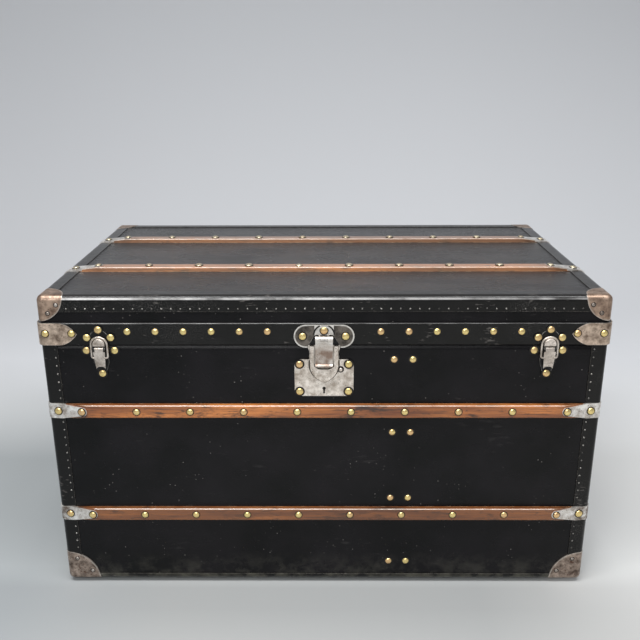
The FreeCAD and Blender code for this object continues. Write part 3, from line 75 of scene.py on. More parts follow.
# Half width, low and top of the cuts behind the lock plate
LOCK_CUTS = ((37 * MM, 405 * MM, 471.5 * MM), (6 * MM, 464 * MM, OPEN_Z))

# Nail heads
HEAD_SIDES = 28
HEAD_RINGS = 7
HEAD_RIM_SHARE = 0.12
HEAD_TILT = math.radians(3)
HEAD_RISE_SHARE = 0.86
HEAD_SINK = 0.1 * MM
# Dark rings under the heads, of dirt and painted shade
GRIME_AND_SHADE_SHARE = 0.24
WIDE_GRIME_AND_SHADE_SHARE = 0.4
GRIME_AND_SHADE_RISE = 0.22 * MM

# Small tacks along the trims
TACK_SIDES = 12
TACK_RINGS = 3
TACK_RADIUS = 1.6 * MM
TACK_RISE = 0.9 * MM
TACK_ROOM = 3.5 * MM
LID_TACK_PITCH = 16.5 * MM
LID_TACK_Z = 567.5 * MM
BASE_TACK_PITCH = 16 * MM
BASE_TACK_INSET = 23 * MM
BASE_TACK_LOW = 80 * MM
BASE_TACK_TOP = 492 * MM

# Rivets of the steel corners: inset from the corner along the face, and height
CORNER_RIVET_RADIUS = 3.1 * MM
CORNER_RIVET_RISE = 1.3 * MM
# The dark ring round each corner rivet, of dirt and painted shade, as a share of its radius
CORNER_GRIME_AND_SHADE_SHARE = 0.55
LID_CORNER_RIVETS = ((33.5 * MM, 575 * MM), (17.5 * MM, 559.5 * MM))
BASE_CORNER_RIVETS = ((19.3 * MM, 55 * MM), (47 * MM, 27.5 * MM))
LID_CORNER = Vector((502.5 * MM, 299.5 * MM, 590 * MM))
LID_CORNER_REACH = 45 * MM
BASE_CORNER = Vector((503 * MM, 300 * MM, 8 * MM))
BASE_CORNER_REACH = 62 * MM

# Painted shade and dirt along the lock's edges: the shield's outline, the button and the hasp's tab
SHADE_AND_DIRT_WIDTH = 2.8 * MM
SHADE_AND_DIRT_RISE = 0.2 * MM
SHIELD_HALF = 26.4 * MM
SHIELD_TOP_Z = OPEN_Z - 29.5 * MM
SHIELD_SHOULDER_Z = OPEN_Z - 34 * MM
SHIELD_BULGE = (19.1 * MM, OPEN_Z - 58.5 * MM)
SHIELD_TIP_Z = OPEN_Z - 71 * MM
SHIELD_STEPS = 12
BUTTON_MIDDLE = (29.5 * MM, OPEN_Z - 47 * MM)
BUTTON_RADIUS = 5 * MM
BUTTON_STEPS = 20
TAB_HALF = 18 * MM
TAB_Z = OPEN_Z + 20.5 * MM
TAB_RISE = 17.6 * MM
TAB_STEP = math.radians(6)
TAB_POINTS = 12

# Where finishes change: each pair is where a change begins and where it is complete
CANVAS_DIRT_Z = (70 * MM, 15 * MM)
TRIM_DIRT_Z = (60 * MM, 8 * MM)
TRIM_MOUTH = (3 * MM, 6 * MM)
HIGHLIGHT_X = (-400 * MM, 300 * MM)
LOW_SLAT_Z = (300 * MM, 200 * MM)
TOP_SLAT_Z = (550 * MM, 580 * MM)
REAR_SLAT_Y = (-50 * MM, 100 * MM)
SLAT_END_X = (410 * MM, 470 * MM)
LOW_CLAMP_Z = (300 * MM, 220 * MM)
CLAMP_FOLD_X = (466 * MM, 494 * MM)
STRAP_STAIN_Z = (OPEN_Z + 4 * MM, OPEN_Z - 10 * MM)
EAR_MIDDLE = (32 * MM, 0, OPEN_Z + 17.3 * MM)
EAR_RIM = (18.4 * MM, 19.8 * MM)
EAR_RIM_X = (28 * MM, 31 * MM)
EAR_TOP_Z = (OPEN_Z + 36.6 * MM, OPEN_Z + 37.6 * MM)
EAR_TAB_X = (17.4 * MM, 16.8 * MM)
CORNER_RIM_INSETS = (2.6 * MM, 1.2 * MM)
KEEPER_NOSE_Y = (-309 * MM, -307 * MM)
BOARD_CROSS_X = 470 * MM
CROSS_WIDTH = 4 * MM

# The same kind of pairs for the way a face looks: upward, on a rounded edge that takes a painted highlight,
# or round an edge
LOOKS_UP = (0.6, 0.9)
HIGHLIGHT_FRONT = (0.2, 0.34)
HIGHLIGHT_TOP = (0.64, 0.5)
SHELF_HIGHLIGHT_UP = (0.1, 0.4)
EDGE_TURN = (0.99, 0.86)
FLANK_TURN = (0.6, 0.25)
ROUND_TURN = (0.96, 0.84)

# Levels of noise that finishes share, and the gloss, shine and worn edges of pieces
WIDE = (0.3, 0.7)
EVEN = (0.35, 0.65)
DULL_STEEL = (0.3, 0.46)
BRIGHT_STEEL = (0.26, 0.42)
PLATE_STEEL = (0.28, 0.46)
CATCH_STEEL = (0.26, 0.44)
INNER_STEEL = (0.4, 0.6)
BLACK_PAINT = (0.25, 0.4)
STEEL_SHINE = 0.75
KEEPER_SHINE = 0.45
PAINT_SHINE = 0.2
WORN_EDGE = 0.8 * MM
PAINT_WORN_EDGE = 1.1 * MM
WIDE_WORN_EDGE = 1.3 * MM
TRIM_WORN_EDGE = 0.9 * MM
SLAT_WORN_EDGE = 1.6 * MM

# Floor and backdrop
FLOOR_WIDTH = 14.0
FLOOR_FRONT = -7.0
FLOOR_BACK = 2.6
FLOOR_TOP = 7.0
FLOOR_BEND = 1.2
BEND_STEPS = 12
# Where the floor's tones change, as pairs of places. The tones paint a shadow in front of the trunk and to
# its left, and light to its right.
FRONT_Y = (-0.38, -0.62)
NEAR_Y = (-0.25, -0.32)
LEFT_X = (-0.3, -0.6)
LEFT_Y = (0.5, 0.2)
RIGHT_X = (0.3, 0.7)
REAR_Y = (0.2, 0.9)
GLOW_Z = (0.0, 1.7)
GLOW_X = (-1.4, 0.6)
BESIDE_X = (0.42, 0.6)
BESIDE_REAR_Y = (0.9, 0.3)
BESIDE_FRONT_Y = (-0.5, -0.2)

# Lamps: name, place, aim, width and depth, watts
LAMPS = (
    ("above_left", (-0.6, -1.0, 2.6), (-0.5, -0.6, 0.3), (1.4, 0.45), 46),
    ("above_right", (0.8, -1.0, 2.6), (0.6, -0.6, 0.3), (1.2, 0.45), 24),
    ("key", (-0.6, -3.0, 2.3), (0, 0, 0.3), (1.8, 1.8), 50),
)
SURROUND_STRENGTH = 0.35

# Camera
CAMERA_PLACE = Vector((0.0014, -1.6097, 0.9904))
CAMERA_YAW = math.radians(-0.372)
CAMERA_PITCH = math.radians(18.719)
CAMERA_ROLL = math.radians(-0.165)
CAMERA_LENS = 44.28
CAMERA_SENSOR = 36


# Colours and nodes

def linear(value):
    """A usual 0 to 255 sRGB value as the linear one that shaders take."""
    return ((value / 255 + 0.055) / 1.055) ** 2.4 if value > 10 else value / 255 / 12.92


def tone(red, green, blue):
    """A colour from its usual 0 to 255 values."""
    return linear(red), linear(green), linear(blue), 1


class Finish:
    """A material under way, with short calls for the nodes that the finishes share."""

    def __init__(self, name):
        self.material = bpy.data.materials.new(name)
        self.material.use_nodes = True
        self.tree = self.material.node_tree
        self.shader = self.tree.nodes["Principled BSDF"]
        coordinates = self.node("ShaderNodeTexCoord")
        self.place = coordinates.outputs["Object"]
        self.normal = coordinates.outputs["Normal"]

    def feed(self, socket, value):
        """Links a socket to another one, or sets its value."""
        if isinstance(value, bpy.types.NodeSocket):
            self.tree.links.new(value, socket)
        else:
            socket.default_value = value

    def node(self, kind, inputs=None, **settings):
        """A new node with its settings and inputs."""
        made = self.tree.nodes.new(kind)
        for name, value in settings.items():
            setattr(made, name, value)
        for name, value in (inputs or {}).items():
            self.feed(made.inputs[name], value)
        return made

    def surface(self, **values):
        """Sets the shader's inputs, named with underscores."""
        for name, value in values.items():
            self.feed(self.shader.inputs[name.replace("_", " ")], value)
        return self.material

    def noise(self, scale, detail=4.0, roughness=0.55, along=1, tall=1):
        """Cloudy noise, drawn out along X or Z where that factor is small."""
        place = self.place
        if (along, tall) != (1, 1):
            inputs = {"Vector": place, "Scale": (along, 1, tall)}
            place = self.node("ShaderNodeMapping", inputs).outputs["Vector"]
        inputs = {"Vector": place, "Scale": scale, "Detail": detail, "Roughness": roughness}
        return self.node("ShaderNodeTexNoise", inputs).outputs["Fac"]

    def cells(self, scale):
        """Distance to the nearest of many scattered points."""
        return self.node("ShaderNodeTexVoronoi", {"Vector": self.place, "Scale": scale}).outputs["Distance"]

    def levels(self, value, cut, span=(0.0, 1.0)):
        """A value stretched from the ends of cut to those of span, and held there."""
        inputs = {"Value": value, "From Min": cut[0], "From Max": cut[1],
                  "To Min": span[0], "To Max": span[1]}
        return self.node("ShaderNodeMapRange", inputs).outputs["Result"]

    def patches(self, scale, cut, span=(0.0, 1.0), **grain):
        """Cloudy noise stretched from the ends of cut to those of span."""
        return self.levels(self.noise(scale, **grain), cut, span)

    def reckon(self, operation, first, second=0.0):
        """One step of arithmetic."""
        made = self.node("ShaderNodeMath", operation=operation)
        self.feed(made.inputs[0], first)
        self.feed(made.inputs[1], second)
        return made.outputs["Value"]

    def times(self, first, *others):
        """The product of some values."""
        for other in others:
            first = self.reckon("MULTIPLY", first, other)
        return first

    def most(self, first, *others):
        """The greatest of some values."""
        for other in others:
            first = self.reckon("MAXIMUM", first, other)
        return first

    def size(self, value):
        """A value without its sign."""
        return self.reckon("ABSOLUTE", value)

    def blend(self, share, first, second):
        """A colour between two."""
        made = self.node("ShaderNodeMix", data_type="RGBA")
        self.feed(made.inputs["Factor"], share)
        self.feed(made.inputs["A"], first)
        self.feed(made.inputs["B"], second)
        return made.outputs["Result"]

    def axes(self, vector):
        """The three parts of a vector."""
        parts = self.node("ShaderNodeSeparateXYZ", {"Vector": vector}).outputs
        return parts["X"], parts["Y"], parts["Z"]

    def pair(self, operation, first, second):
        """One step of arithmetic on two vectors that gives a number."""
        made = self.node("ShaderNodeVectorMath", operation=operation)
        self.feed(made.inputs[0], first)
        self.feed(made.inputs[1], second)
        return made.outputs["Value"]

    def reach(self, middle, flat=False):
        """The distance from a point and its mirror images across X and Y, or from its line along Y."""
        x, y, z = self.axes(self.place)
        parts = {"X": self.size(x), "Z": z}
        if not flat:
            parts["Y"] = self.size(y)
        folded = self.node("ShaderNodeCombineXYZ", parts).outputs["Vector"]
        return self.pair("DISTANCE", folded, middle)

    def edges(self, radius):
        """1 along the sharp edges of a piece and 0 on its faces."""
        soft = self.node("ShaderNodeBevel", {"Radius": radius}).outputs["Normal"]
        plain = self.node("ShaderNodeNewGeometry").outputs["Normal"]
        return self.levels(self.pair("DOT_PRODUCT", soft, plain), EDGE_TURN)

    def flanks(self):
        """1 on faces that look sideways, up or down, and 0 on those that look to the front or back."""
        return self.levels(self.size(self.axes(self.normal)[1]), FLANK_TURN)

    def rounds(self):
        """1 on rounded edges, where no axis leads, and 0 on flat faces."""
        return self.levels(self.most(*map(self.size, self.axes(self.normal))), ROUND_TURN)

    def turn(self, share):
        """Swaps X and Y of the place where share is 1, so that grain runs along Y there."""
        x, y, z = self.axes(self.place)
        turned = self.node("ShaderNodeCombineXYZ", {"X": y, "Y": x, "Z": z}).outputs["Vector"]
        made = self.node("ShaderNodeMix", data_type="VECTOR")
        self.feed(made.inputs["Factor"], share)
        self.feed(made.inputs["A"], self.place)
        self.feed(made.inputs["B"], turned)
        self.place = made.outputs["Result"]

    def bump(self, height, distance, strength=1.0, under=None):
        """A normal from heights, on top of another one where that is given."""
        inputs = {"Height": height, "Distance": distance, "Strength": strength}
        if under:
            inputs["Normal"] = under
        return self.node("ShaderNodeBump", inputs).outputs["Normal"]


# Finishes

def weave(finish, pitch):
    """The heights of a plain weave, on any face of a box."""
    heights = None
    for part in finish.axes(finish.place):
        wave = finish.reckon("SINE", finish.times(part, 2 * math.pi / pitch))
        heights = wave if heights is None else finish.reckon("ADD", heights, wave)
    return heights


def canvas_finish():
    """Black painted canvas with scuffs, pale specks, dirt low down, a dusty top paled further by painted
    sheen, and a fine weave.
    """
    f = Finish("black_canvas")
    base = f.blend(f.patches(11, EVEN, detail=6), tone(5, 5, 6), tone(18, 16, 19))
    streaks = f.noise(150, detail=3, along=0.2)
    scuffs = f.levels(f.times(streaks, f.noise(12)), (0.37, 0.48), (0, 0.4))
    base = f.blend(scuffs, base, tone(56, 54, 54))
    specks = f.times(f.levels(f.cells(105), (0.11, 0.06)), f.patches(25, (0.53, 0.62)))
    base = f.blend(specks, base, tone(128, 124, 120))
    dirt = f.levels(f.axes(f.place)[2], CANVAS_DIRT_Z, (0, 0.3))
    dirt = f.times(dirt, f.patches(32, (0.45, 0.64), detail=6, roughness=0.7))
    base = f.blend(dirt, base, tone(92, 90, 82))
    # Upward faces turn paler, for dusty cloth and for painted sheen.
    dust_and_sheen = f.levels(f.axes(f.normal)[2], LOOKS_UP, (0, 0.46))
    dust_and_sheen = f.times(dust_and_sheen, f.patches(7, WIDE, (0.6, 1.2), detail=6, along=0.5))
    base = f.blend(dust_and_sheen, base, tone(72, 71, 72))
    relief = f.bump(f.noise(32, detail=5, along=0.35), 0.8 * MM, 0.5)
    relief = f.bump(weave(f, CANVAS_WEAVE), 0.06 * MM, 0.5, relief)
    rough = f.patches(20, WIDE, (0.17, 0.34), detail=5, along=0.4)
    return f.surface(Base_Color=base, Roughness=rough, Normal=relief, Specular_IOR_Level=0.22,
                     Sheen_Weight=0.07, Sheen_Roughness=0.35)


def trim_finish():
    """Glossy black fibre strips, dented and scuffed, dusty on top and paler still with painted sheen there,
    with edges worn pale and a painted highlight along the upward rounded edges, brightest on the left.
    """
    f = Finish("black_trim")
    x, _, z = f.axes(f.place)
    upward = f.axes(f.normal)[2]
    base = f.blend(f.noise(20), tone(9, 9, 9), tone(20, 19, 18))
    dirt = f.times(f.levels(z, TRIM_DIRT_Z, (0, 0.6)), f.patches(40, (0.4, 0.65), detail=6))
    base = f.blend(dirt, base, tone(104, 102, 90))
    scuffs = f.times(f.noise(260, detail=3, along=0.3), f.noise(19))
    base = f.blend(f.levels(scuffs, (0.37, 0.44), (0, 0.45)), base, tone(110, 106, 102))
    crackle = f.times(f.patches(6, (0.5, 0.64), detail=3), f.patches(760, (0.58, 0.68), detail=2), 0.35)
    base = f.blend(crackle, base, tone(140, 137, 134))
    worn = f.times(f.edges(TRIM_WORN_EDGE), f.patches(150, (0.4, 0.6), (0.15, 0.8), detail=5))
    mouth = f.size(f.reckon("SUBTRACT", z, OPEN_Z))
    worn = f.times(worn, f.levels(mouth, TRIM_MOUTH, (0.2, 1)))
    base = f.blend(worn, base, tone(126, 120, 112))
    # Upward faces turn paler, for dusty fibre and for painted sheen.
    base = f.blend(f.levels(upward, LOOKS_UP, (0, 0.34)), base, tone(66, 65, 65))
    # A painted highlight on rounded edges that slope upward, brighter to the left.
    edge_highlight = f.times(f.levels(upward, HIGHLIGHT_FRONT), f.levels(upward, HIGHLIGHT_TOP), f.levels(x, HIGHLIGHT_X, (1, 0.55)))
    edge_highlight = f.times(edge_highlight, f.patches(22, (0.36, 0.6), (0.2, 0.95), detail=6))
    base = f.blend(edge_highlight, base, tone(204, 203, 202))
    rough = f.patches(38, WIDE, (0.12, 0.26))
    relief = f.bump(f.noise(45, detail=3), 1.1 * MM, 0.45)
    relief = f.bump(f.noise(280, detail=4), 0.2 * MM, 0.5, relief)
    return f.surface(Base_Color=base, Roughness=rough, Normal=relief, Specular_IOR_Level=0.28)


def wood_finish(name, light, dark, streak, gloss, cross=None):
    """Straight-grained wood along X, or along Y from cross on, with pores, stains and dark flecks."""
    f = Finish(name)
    if cross is not None:
        f.turn(f.levels(f.size(f.axes(f.place)[0]), (cross, cross + CROSS_WIDTH)))
    grain = f.noise(75, detail=8, along=0.045, roughness=0.7)
    base = f.blend(f.levels(grain, (0.34, 0.66)), dark, light)
    base = f.blend(f.patches(9, (0.46, 0.72), (0, 0.6), along=0.5), base, dark)
    pores = f.patches(430, (0.56, 0.66), detail=3, along=0.05)
    base = f.blend(f.times(pores, 0.65), base, streak)
    stains = f.patches(60, (0.55, 0.66), detail=7, along=0.3, roughness=0.68)
    base = f.blend(f.times(stains, 0.9), base, streak)
    flecks = f.patches(210, (0.6, 0.68), along=0.3, roughness=0.7)
    base = f.blend(f.times(flecks, 0.8), base, streak)
    rough = f.levels(grain, WIDE, gloss[::-1])
    relief = f.bump(grain, 0.4 * MM, 0.5)
    relief = f.bump(pores, 0.12 * MM, -0.7, relief)
    return f, base, rough, relief


def slat_finish():
    """Varnished slats, browner low on the base, dark near their ends, worn pale along their edges, and with a
    painted highlight along their rounded edges that look up.
    """
    f, base, rough, relief = wood_finish("slat_wood", light=tone(202, 124, 60), dark=tone(102, 51, 21),
                                         streak=tone(38, 19, 9), gloss=(0.2, 0.36))
    x, y, z = f.axes(f.place)
    base = f.blend(f.levels(z, LOW_SLAT_Z, (0, 0.55)), base, tone(80, 48, 28))
    top = f.levels(z, TOP_SLAT_Z)
    base = f.blend(f.times(top, 0.25), base, tone(206, 172, 142))
    base = f.blend(f.times(top, f.levels(y, REAR_SLAT_Y, (0, 0.5))), base, tone(104, 80, 64))
    # A painted highlight on the rounded edges that look up.
    shelf_highlight = f.times(f.rounds(), f.levels(f.axes(f.normal)[2], SHELF_HIGHLIGHT_UP, (0, 0.6)))
    shelf_highlight = f.times(shelf_highlight, f.patches(70, (0.3, 0.55), (0.4, 1), detail=5))
    base = f.blend(shelf_highlight, base, tone(232, 216, 202))
    ends = f.times(f.levels(f.size(x), SLAT_END_X), f.patches(50, (0.3, 0.6), (0, 0.8)))
    base = f.blend(ends, base, tone(58, 36, 24))
    worn = f.times(f.edges(SLAT_WORN_EDGE), f.patches(80, (0.42, 0.6), (0, 0.7), detail=6))
    base = f.blend(worn, base, tone(232, 198, 160))
    return f.surface(Base_Color=base, Roughness=rough, Normal=relief, Coat_Weight=0.7, Coat_Roughness=0.13)


def carcass_finish(name, cross):
    """Plain poplar boards."""
    f, base, rough, relief = wood_finish(name, light=tone(196, 164, 122), dark=tone(160, 126, 88),
                                         streak=tone(120, 90, 60), gloss=(0.5, 0.62), cross=cross)
    return f.surface(Base_Color=base, Roughness=rough, Normal=relief)


def aged(name, light, dark, rust, rust_share):
    """The start of an old metal finish: clouded patina, rusty spots and dark pits, and the pits' places."""
    f = Finish(name)
    base = f.blend(f.patches(60, (0.38, 0.64), detail=7, roughness=0.7), light, dark)
    cut = (0.66 - rust_share / 2, 0.72 - rust_share / 2)
    spots = f.patches(140, cut, detail=7, roughness=0.72)
    base = f.blend(f.times(spots, 0.85), base, rust)
    pits = f.times(f.levels(f.cells(260), (0.24, 0.14)), f.patches(100, (0.47, 0.57)))
    base = f.blend(f.times(pits, 0.85), base, tone(34, 27, 22))
    return f, base, pits


def metal(f, base, pits, gloss, shine=STEEL_SHINE, edge=WORN_EDGE, pale=tone(238, 234, 226), grime_and_shade=True):
    """The end of an old metal finish: dirt and painted shade on the flanks, bright worn edges, gloss and
    relief.
    """
    # Faces that look sideways, up or down are darkened: dirt and painted shade.
    if grime_and_shade:
        base = f.blend(f.times(f.flanks(), 0.8), base, tone(30, 25, 21))
    worn = f.times(f.edges(edge), f.patches(130, (0.36, 0.56), (0.1, 0.8)))
    base = f.blend(worn, base, pale)
    rough = f.patches(80, WIDE, gloss, detail=5)
    relief = f.bump(f.noise(160, detail=5), 0.3 * MM, 0.4)
    relief = f.bump(pits, 0.15 * MM, -0.5, relief)
    return f.surface(Base_Color=base, Metallic=shine, Roughness=rough, Normal=relief)


def steel_finish(name, light, dark, rust, rust_share, gloss, grime_and_shade=True):
    """Old steel."""
    f, base, pits = aged(name, light, dark, rust, rust_share)
    return metal(f, base, pits, gloss, grime_and_shade=grime_and_shade)


def strap_finish():
    """The hasp: bright at its hinge, stained brown below."""
    f, base, pits = aged("hasp_steel", light=tone(253, 249, 243), dark=tone(216, 206, 196),
                         rust=tone(120, 92, 70), rust_share=0.02)
    stain = f.levels(f.axes(f.place)[2], STRAP_STAIN_Z, (0, 0.85))
    stain = f.times(stain, f.patches(70, (0.3, 0.62), (0.25, 1), detail=6))
    base = f.blend(stain, base, tone(118, 86, 64))
    return metal(f, base, pits, BRIGHT_STEEL, pale=tone(200, 186, 172))


def ear_finish():
    """The hasp's plate: dull dark ears with a pale worn rim, and a bright tab between them."""
    f, base, pits = aged("ear_steel", light=tone(128, 120, 112), dark=tone(58, 54, 50),
                         rust=tone(44, 36, 30), rust_share=0.1)
    x, _, z = f.axes(f.place)
    across = f.size(x)
    rim = f.times(f.levels(f.reach(EAR_MIDDLE, flat=True), EAR_RIM), f.levels(across, EAR_RIM_X))
    bright = f.most(rim, f.levels(z, EAR_TOP_Z), f.levels(across, EAR_TAB_X))
    bright = f.times(bright, f.patches(120, (0.3, 0.5), (0.45, 1), detail=5))
    base = f.blend(bright, base, tone(226, 222, 216))
    return metal(f, base, pits, DULL_STEEL)


def corner_finish(name, light, dark, rust, rust_share, corner, reach):
    """A rounded steel corner with a pale rim."""
    f, base, pits = aged(name, light, dark, rust, rust_share)
    rim = f.levels(f.reach(corner), [reach - inset for inset in CORNER_RIM_INSETS], (0, 0.6))
    base = f.blend(f.times(rim, f.patches(90, (0.35, 0.6))), base, tone(214, 206, 196))
    return metal(f, base, pits, DULL_STEEL, edge=WIDE_WORN_EDGE, grime_and_shade=False)


def clamp_finish(name, light, dark, rust, rust_share, cracks):
    """Sheet steel over slat and band ends, with dark cracks across it, browned where it folds low down."""
    f, base, pits = aged(name, light, dark, rust, rust_share)
    lines = f.patches(75, (0.66, 0.7), (0, cracks), detail=2, tall=0.12)
    base = f.blend(lines, base, tone(38, 30, 26))
    x, _, z = f.axes(f.place)
    low = f.times(f.levels(z, LOW_CLAMP_Z, (0, 0.95)), f.levels(f.size(x), CLAMP_FOLD_X))
    base = f.blend(f.times(low, f.patches(60, (0.35, 0.6), detail=5)), base, tone(96, 78, 66))
    return metal(f, base, pits, DULL_STEEL, edge=WIDE_WORN_EDGE, grime_and_shade=False)


def painted_finish():
    """Black-painted steel, worn to pale metal along its edges."""
    f, base, pits = aged("painted_steel", light=tone(26, 25, 25), dark=tone(14, 14, 14),
                         rust=tone(66, 58, 50), rust_share=0.02)
    return metal(f, base, pits, BLACK_PAINT, PAINT_SHINE, PAINT_WORN_EDGE, tone(190, 184, 176), grime_and_shade=False)


def keeper_finish():
    """A black-painted keeper with a bare steel nose, which is what stands out from it."""
    f, base, pits = aged("keeper_steel", light=tone(226, 216, 206), dark=tone(150, 138, 127),
                         rust=tone(84, 68, 56), rust_share=0.05)
    base = f.blend(f.levels(f.axes(f.place)[1], KEEPER_NOSE_Y), base, tone(20, 19, 19))
    return metal(f, base, pits, BRIGHT_STEEL, KEEPER_SHINE, PAINT_WORN_EDGE, grime_and_shade=False)


def brass_finish(name, first, second, dark):
    """Brass heads, each a little different in tone."""
    f = Finish(name)
    base = f.blend(f.patches(33, (0.45, 0.68), detail=0), first, second)
    tarnish = f.patches(380, (0.56, 0.74), (0, 0.55))
    base = f.blend(tarnish, base, dark)
    rough = f.patches(250, WIDE, (0.24, 0.38))
    return f.surface(Base_Color=base, Metallic=0.85, Roughness=rough)


def plain_finish(name, first, second, rough, scale, shine=0.0):
    """A dull surface that varies between two colours."""
    f = Finish(name)
    base = f.blend(f.patches(scale, EVEN), first, second)
    relief = f.bump(f.noise(scale * 4), 0.2 * MM, 0.4)
    return f.surface(Base_Color=base, Roughness=rough, Metallic=shine, Normal=relief)


def lining_finish():
    """Plain cloth lining with a visible weave and faint stains."""
    f = Finish("lining_cloth")
    base = f.blend(f.noise(5, detail=5), tone(196, 180, 150), tone(170, 150, 118))
    stains = f.patches(3.1, (0.58, 0.75), (0, 0.5), detail=6)
    base = f.blend(stains, base, tone(140, 116, 84))
    threads = f.levels(weave(f, LINING_WEAVE), (-1.5, 1.5))
    base = f.blend(f.times(threads, 0.25), base, tone(112, 92, 66))
    relief = f.bump(threads, 0.4 * MM, 0.6)
    return f.surface(Base_Color=base, Roughness=0.85, Normal=relief)


CANVAS_FINISH = canvas_finish()
TRIM_FINISH = trim_finish()
SLAT_FINISH = slat_finish()
CARCASS_FINISH = carcass_finish("carcass_wood", cross=BOARD_CROSS_X)
DIVIDER_FINISH = carcass_finish("divider_wood", cross=0.0)
LINING_FINISH = lining_finish()
BRASS_FINISH = brass_finish("brass", tone(248, 224, 152), tone(240, 200, 146), dark=tone(140, 104, 58))
DUSTY_FINISH = brass_finish("dusty_brass", tone(228, 214, 184), tone(212, 194, 164), dark=tone(126, 108, 82))
# Dark dirt and painted shade, for the rings under heads and the ridges along the lock's edges
GRIME_AND_SHADE_FINISH = plain_finish("grime_and_shade", tone(10, 8, 7), tone(24, 19, 15), rough=0.8, scale=300)
TACK_FINISH = plain_finish("tack", tone(34, 33, 32), tone(186, 182, 176), rough=0.32, scale=70, shine=0.8)
RIVET_FINISH = plain_finish("corner_rivet", tone(120, 108, 98), tone(206, 198, 190), rough=0.34, scale=70,
                            shine=STEEL_SHINE)
PLATE_FINISH = steel_finish("plate_steel", light=tone(255, 246, 236), dark=tone(172, 158, 144),
                            rust=tone(92, 74, 60), rust_share=0.04, gloss=PLATE_STEEL)
STRAP_FINISH = strap_finish()
EAR_FINISH = ear_finish()
HANDLE_FINISH = steel_finish("handle_steel", light=tone(206, 192, 178), dark=tone(122, 108, 96),
                             rust=tone(84, 64, 50), rust_share=0.12, gloss=PLATE_STEEL, grime_and_shade=False)
CATCH_FINISH = steel_finish("catch_steel", light=tone(226, 216, 206), dark=tone(156, 144, 133),
                            rust=tone(84, 68, 56), rust_share=0.05, gloss=CATCH_STEEL)
PAINTED_FINISH = painted_finish()
KEEPER_FINISH = keeper_finish()
SLAT_CLAMP_FINISH = clamp_finish("slat_clamp_steel", light=tone(253, 251, 247), dark=tone(172, 161, 151),
                                 rust=tone(90, 68, 52), rust_share=0.1, cracks=0.0)
BAND_CLAMP_FINISH = clamp_finish("band_clamp_steel", light=tone(224, 202, 182), dark=tone(120, 102, 88),
                                 rust=tone(80, 60, 46), rust_share=0.08, cracks=0.8)
LID_CORNER_FINISH = corner_finish("lid_corner_steel", light=tone(192, 166, 146), dark=tone(120, 99, 85),
                                  rust=tone(80, 58, 44), rust_share=0.08,
                                  corner=LID_CORNER, reach=LID_CORNER_REACH)
BASE_CORNER_FINISH = corner_finish("base_corner_steel", light=tone(182, 164, 150), dark=tone(76, 62, 54),
                                   rust=tone(84, 54, 40), rust_share=0.2,
                                   corner=BASE_CORNER, reach=BASE_CORNER_REACH)
HIDDEN_FINISH = steel_finish("inner_steel", light=tone(150, 144, 138), dark=tone(96, 90, 84),
                             rust=tone(80, 60, 46), rust_share=0.15, gloss=INNER_STEEL, grime_and_shade=False)

FINISH_OF = {
    CARCASS_FINISH: ("base_front_board", "base_back_board", "base_left_board", "base_right_board",
                     "base_floor_board", "base_rim", "lid_top_board",
                     "lid_front_board", "lid_back_board", "lid_left_board", "lid_right_board"),
    DIVIDER_FINISH: ("divider_battens", "divider_board"),
    SLAT_FINISH: ("base_front_slats", "base_back_slats", "lid_slats", "base_runners"),
    TRIM_FINISH: ("base_edge_trims", "base_bottom_trims", "lid_edge_trims", "lid_band"),
    PLATE_FINISH: ("lock_plate", "release_button"),
    STRAP_FINISH: ("lock_hasp",),
    EAR_FINISH: ("hasp_plate",),
    PAINTED_FINISH: ("catch_plate_left", "catch_plate_right", "hinge_base_leaves", "hinge_lid_leaves",
                     "handle_brackets"),
    KEEPER_FINISH: ("catch_keeper_left", "catch_keeper_right"),
    CATCH_FINISH: ("catch_lever_left", "catch_lever_right", "catch_bail_left", "catch_bail_right"),
    HANDLE_FINISH: ("handle_left", "handle_right"),
    SLAT_CLAMP_FINISH: ("base_slat_clamps", "lid_slat_clamps"),
    BAND_CLAMP_FINISH: ("lid_band_clamps",),
    LID_CORNER_FINISH: ("lid_corners",),
    BASE_CORNER_FINISH: ("base_corners",),
    HIDDEN_FINISH: ("lock_case", "lock_bolt", "hasp_pin", "catch_pins", "hinge_pins"),
}


def dress_nodes():
    """Gives the nodes that stay in view their finishes."""
    for finish, names in FINISH_OF.items():
        for name in names:
            for holder in NODES[name].material_slots:
                holder.material = finish


# Meshes

def piece(name, body, points, faces, finishes, smooth=True, replaced=()):
    """A new piece that rides on a body, with the finishes it is given."""
    mesh = bpy.data.meshes.new(name)
    mesh.from_pydata([tuple(p) for p in points], [], faces)
    for finish in finishes:
        mesh.materials.append(finish)
    mesh.update()
    mesh.polygons.foreach_set("use_smooth", [smooth] * len(mesh.polygons))
    made = bpy.data.objects.new(name, mesh)
    bpy.context.scene.collection.objects.link(made)
    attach(made, body)
    if replaced:
        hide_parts(*replaced)
    return made


def tree_of(*names):
    """The surfaces of some CAD nodes, to cast lines at."""
    points, faces = [], []
    for name in names:
        mesh = NODES[name].data
        start = len(points)
        points += [v.co.copy() for v in mesh.vertices]
        faces += [tuple(start + i for i in face.vertices) for face in mesh.polygons]
    return BVHTree.FromPolygons(points, faces)


# Cloth

def grid_places(low, high, round_low, round_high, extra):
    """Places along one axis of a box for a grid: even steps, finer ones on rounded edges, and given ones."""
    start, end = low + round_low, high - round_high
    count = math.ceil((end - start) / CLOTH_STEP)
    places = [start + (end - start) * i / count for i in range(count + 1)]
    places = [p for p in places if all(abs(p - e) > CLOTH_NEAR for e in extra)] + list(extra)
    places = sorted(set(places) | {start, end})
    for i in range(1, EDGE_STEPS + 1):
        lean = math.tan(math.pi / 4 * i / EDGE_STEPS)
        if round_low:
            places.insert(0, start - round_low * lean)
        if round_high:
            places.append(end + round_high * lean)
    return places


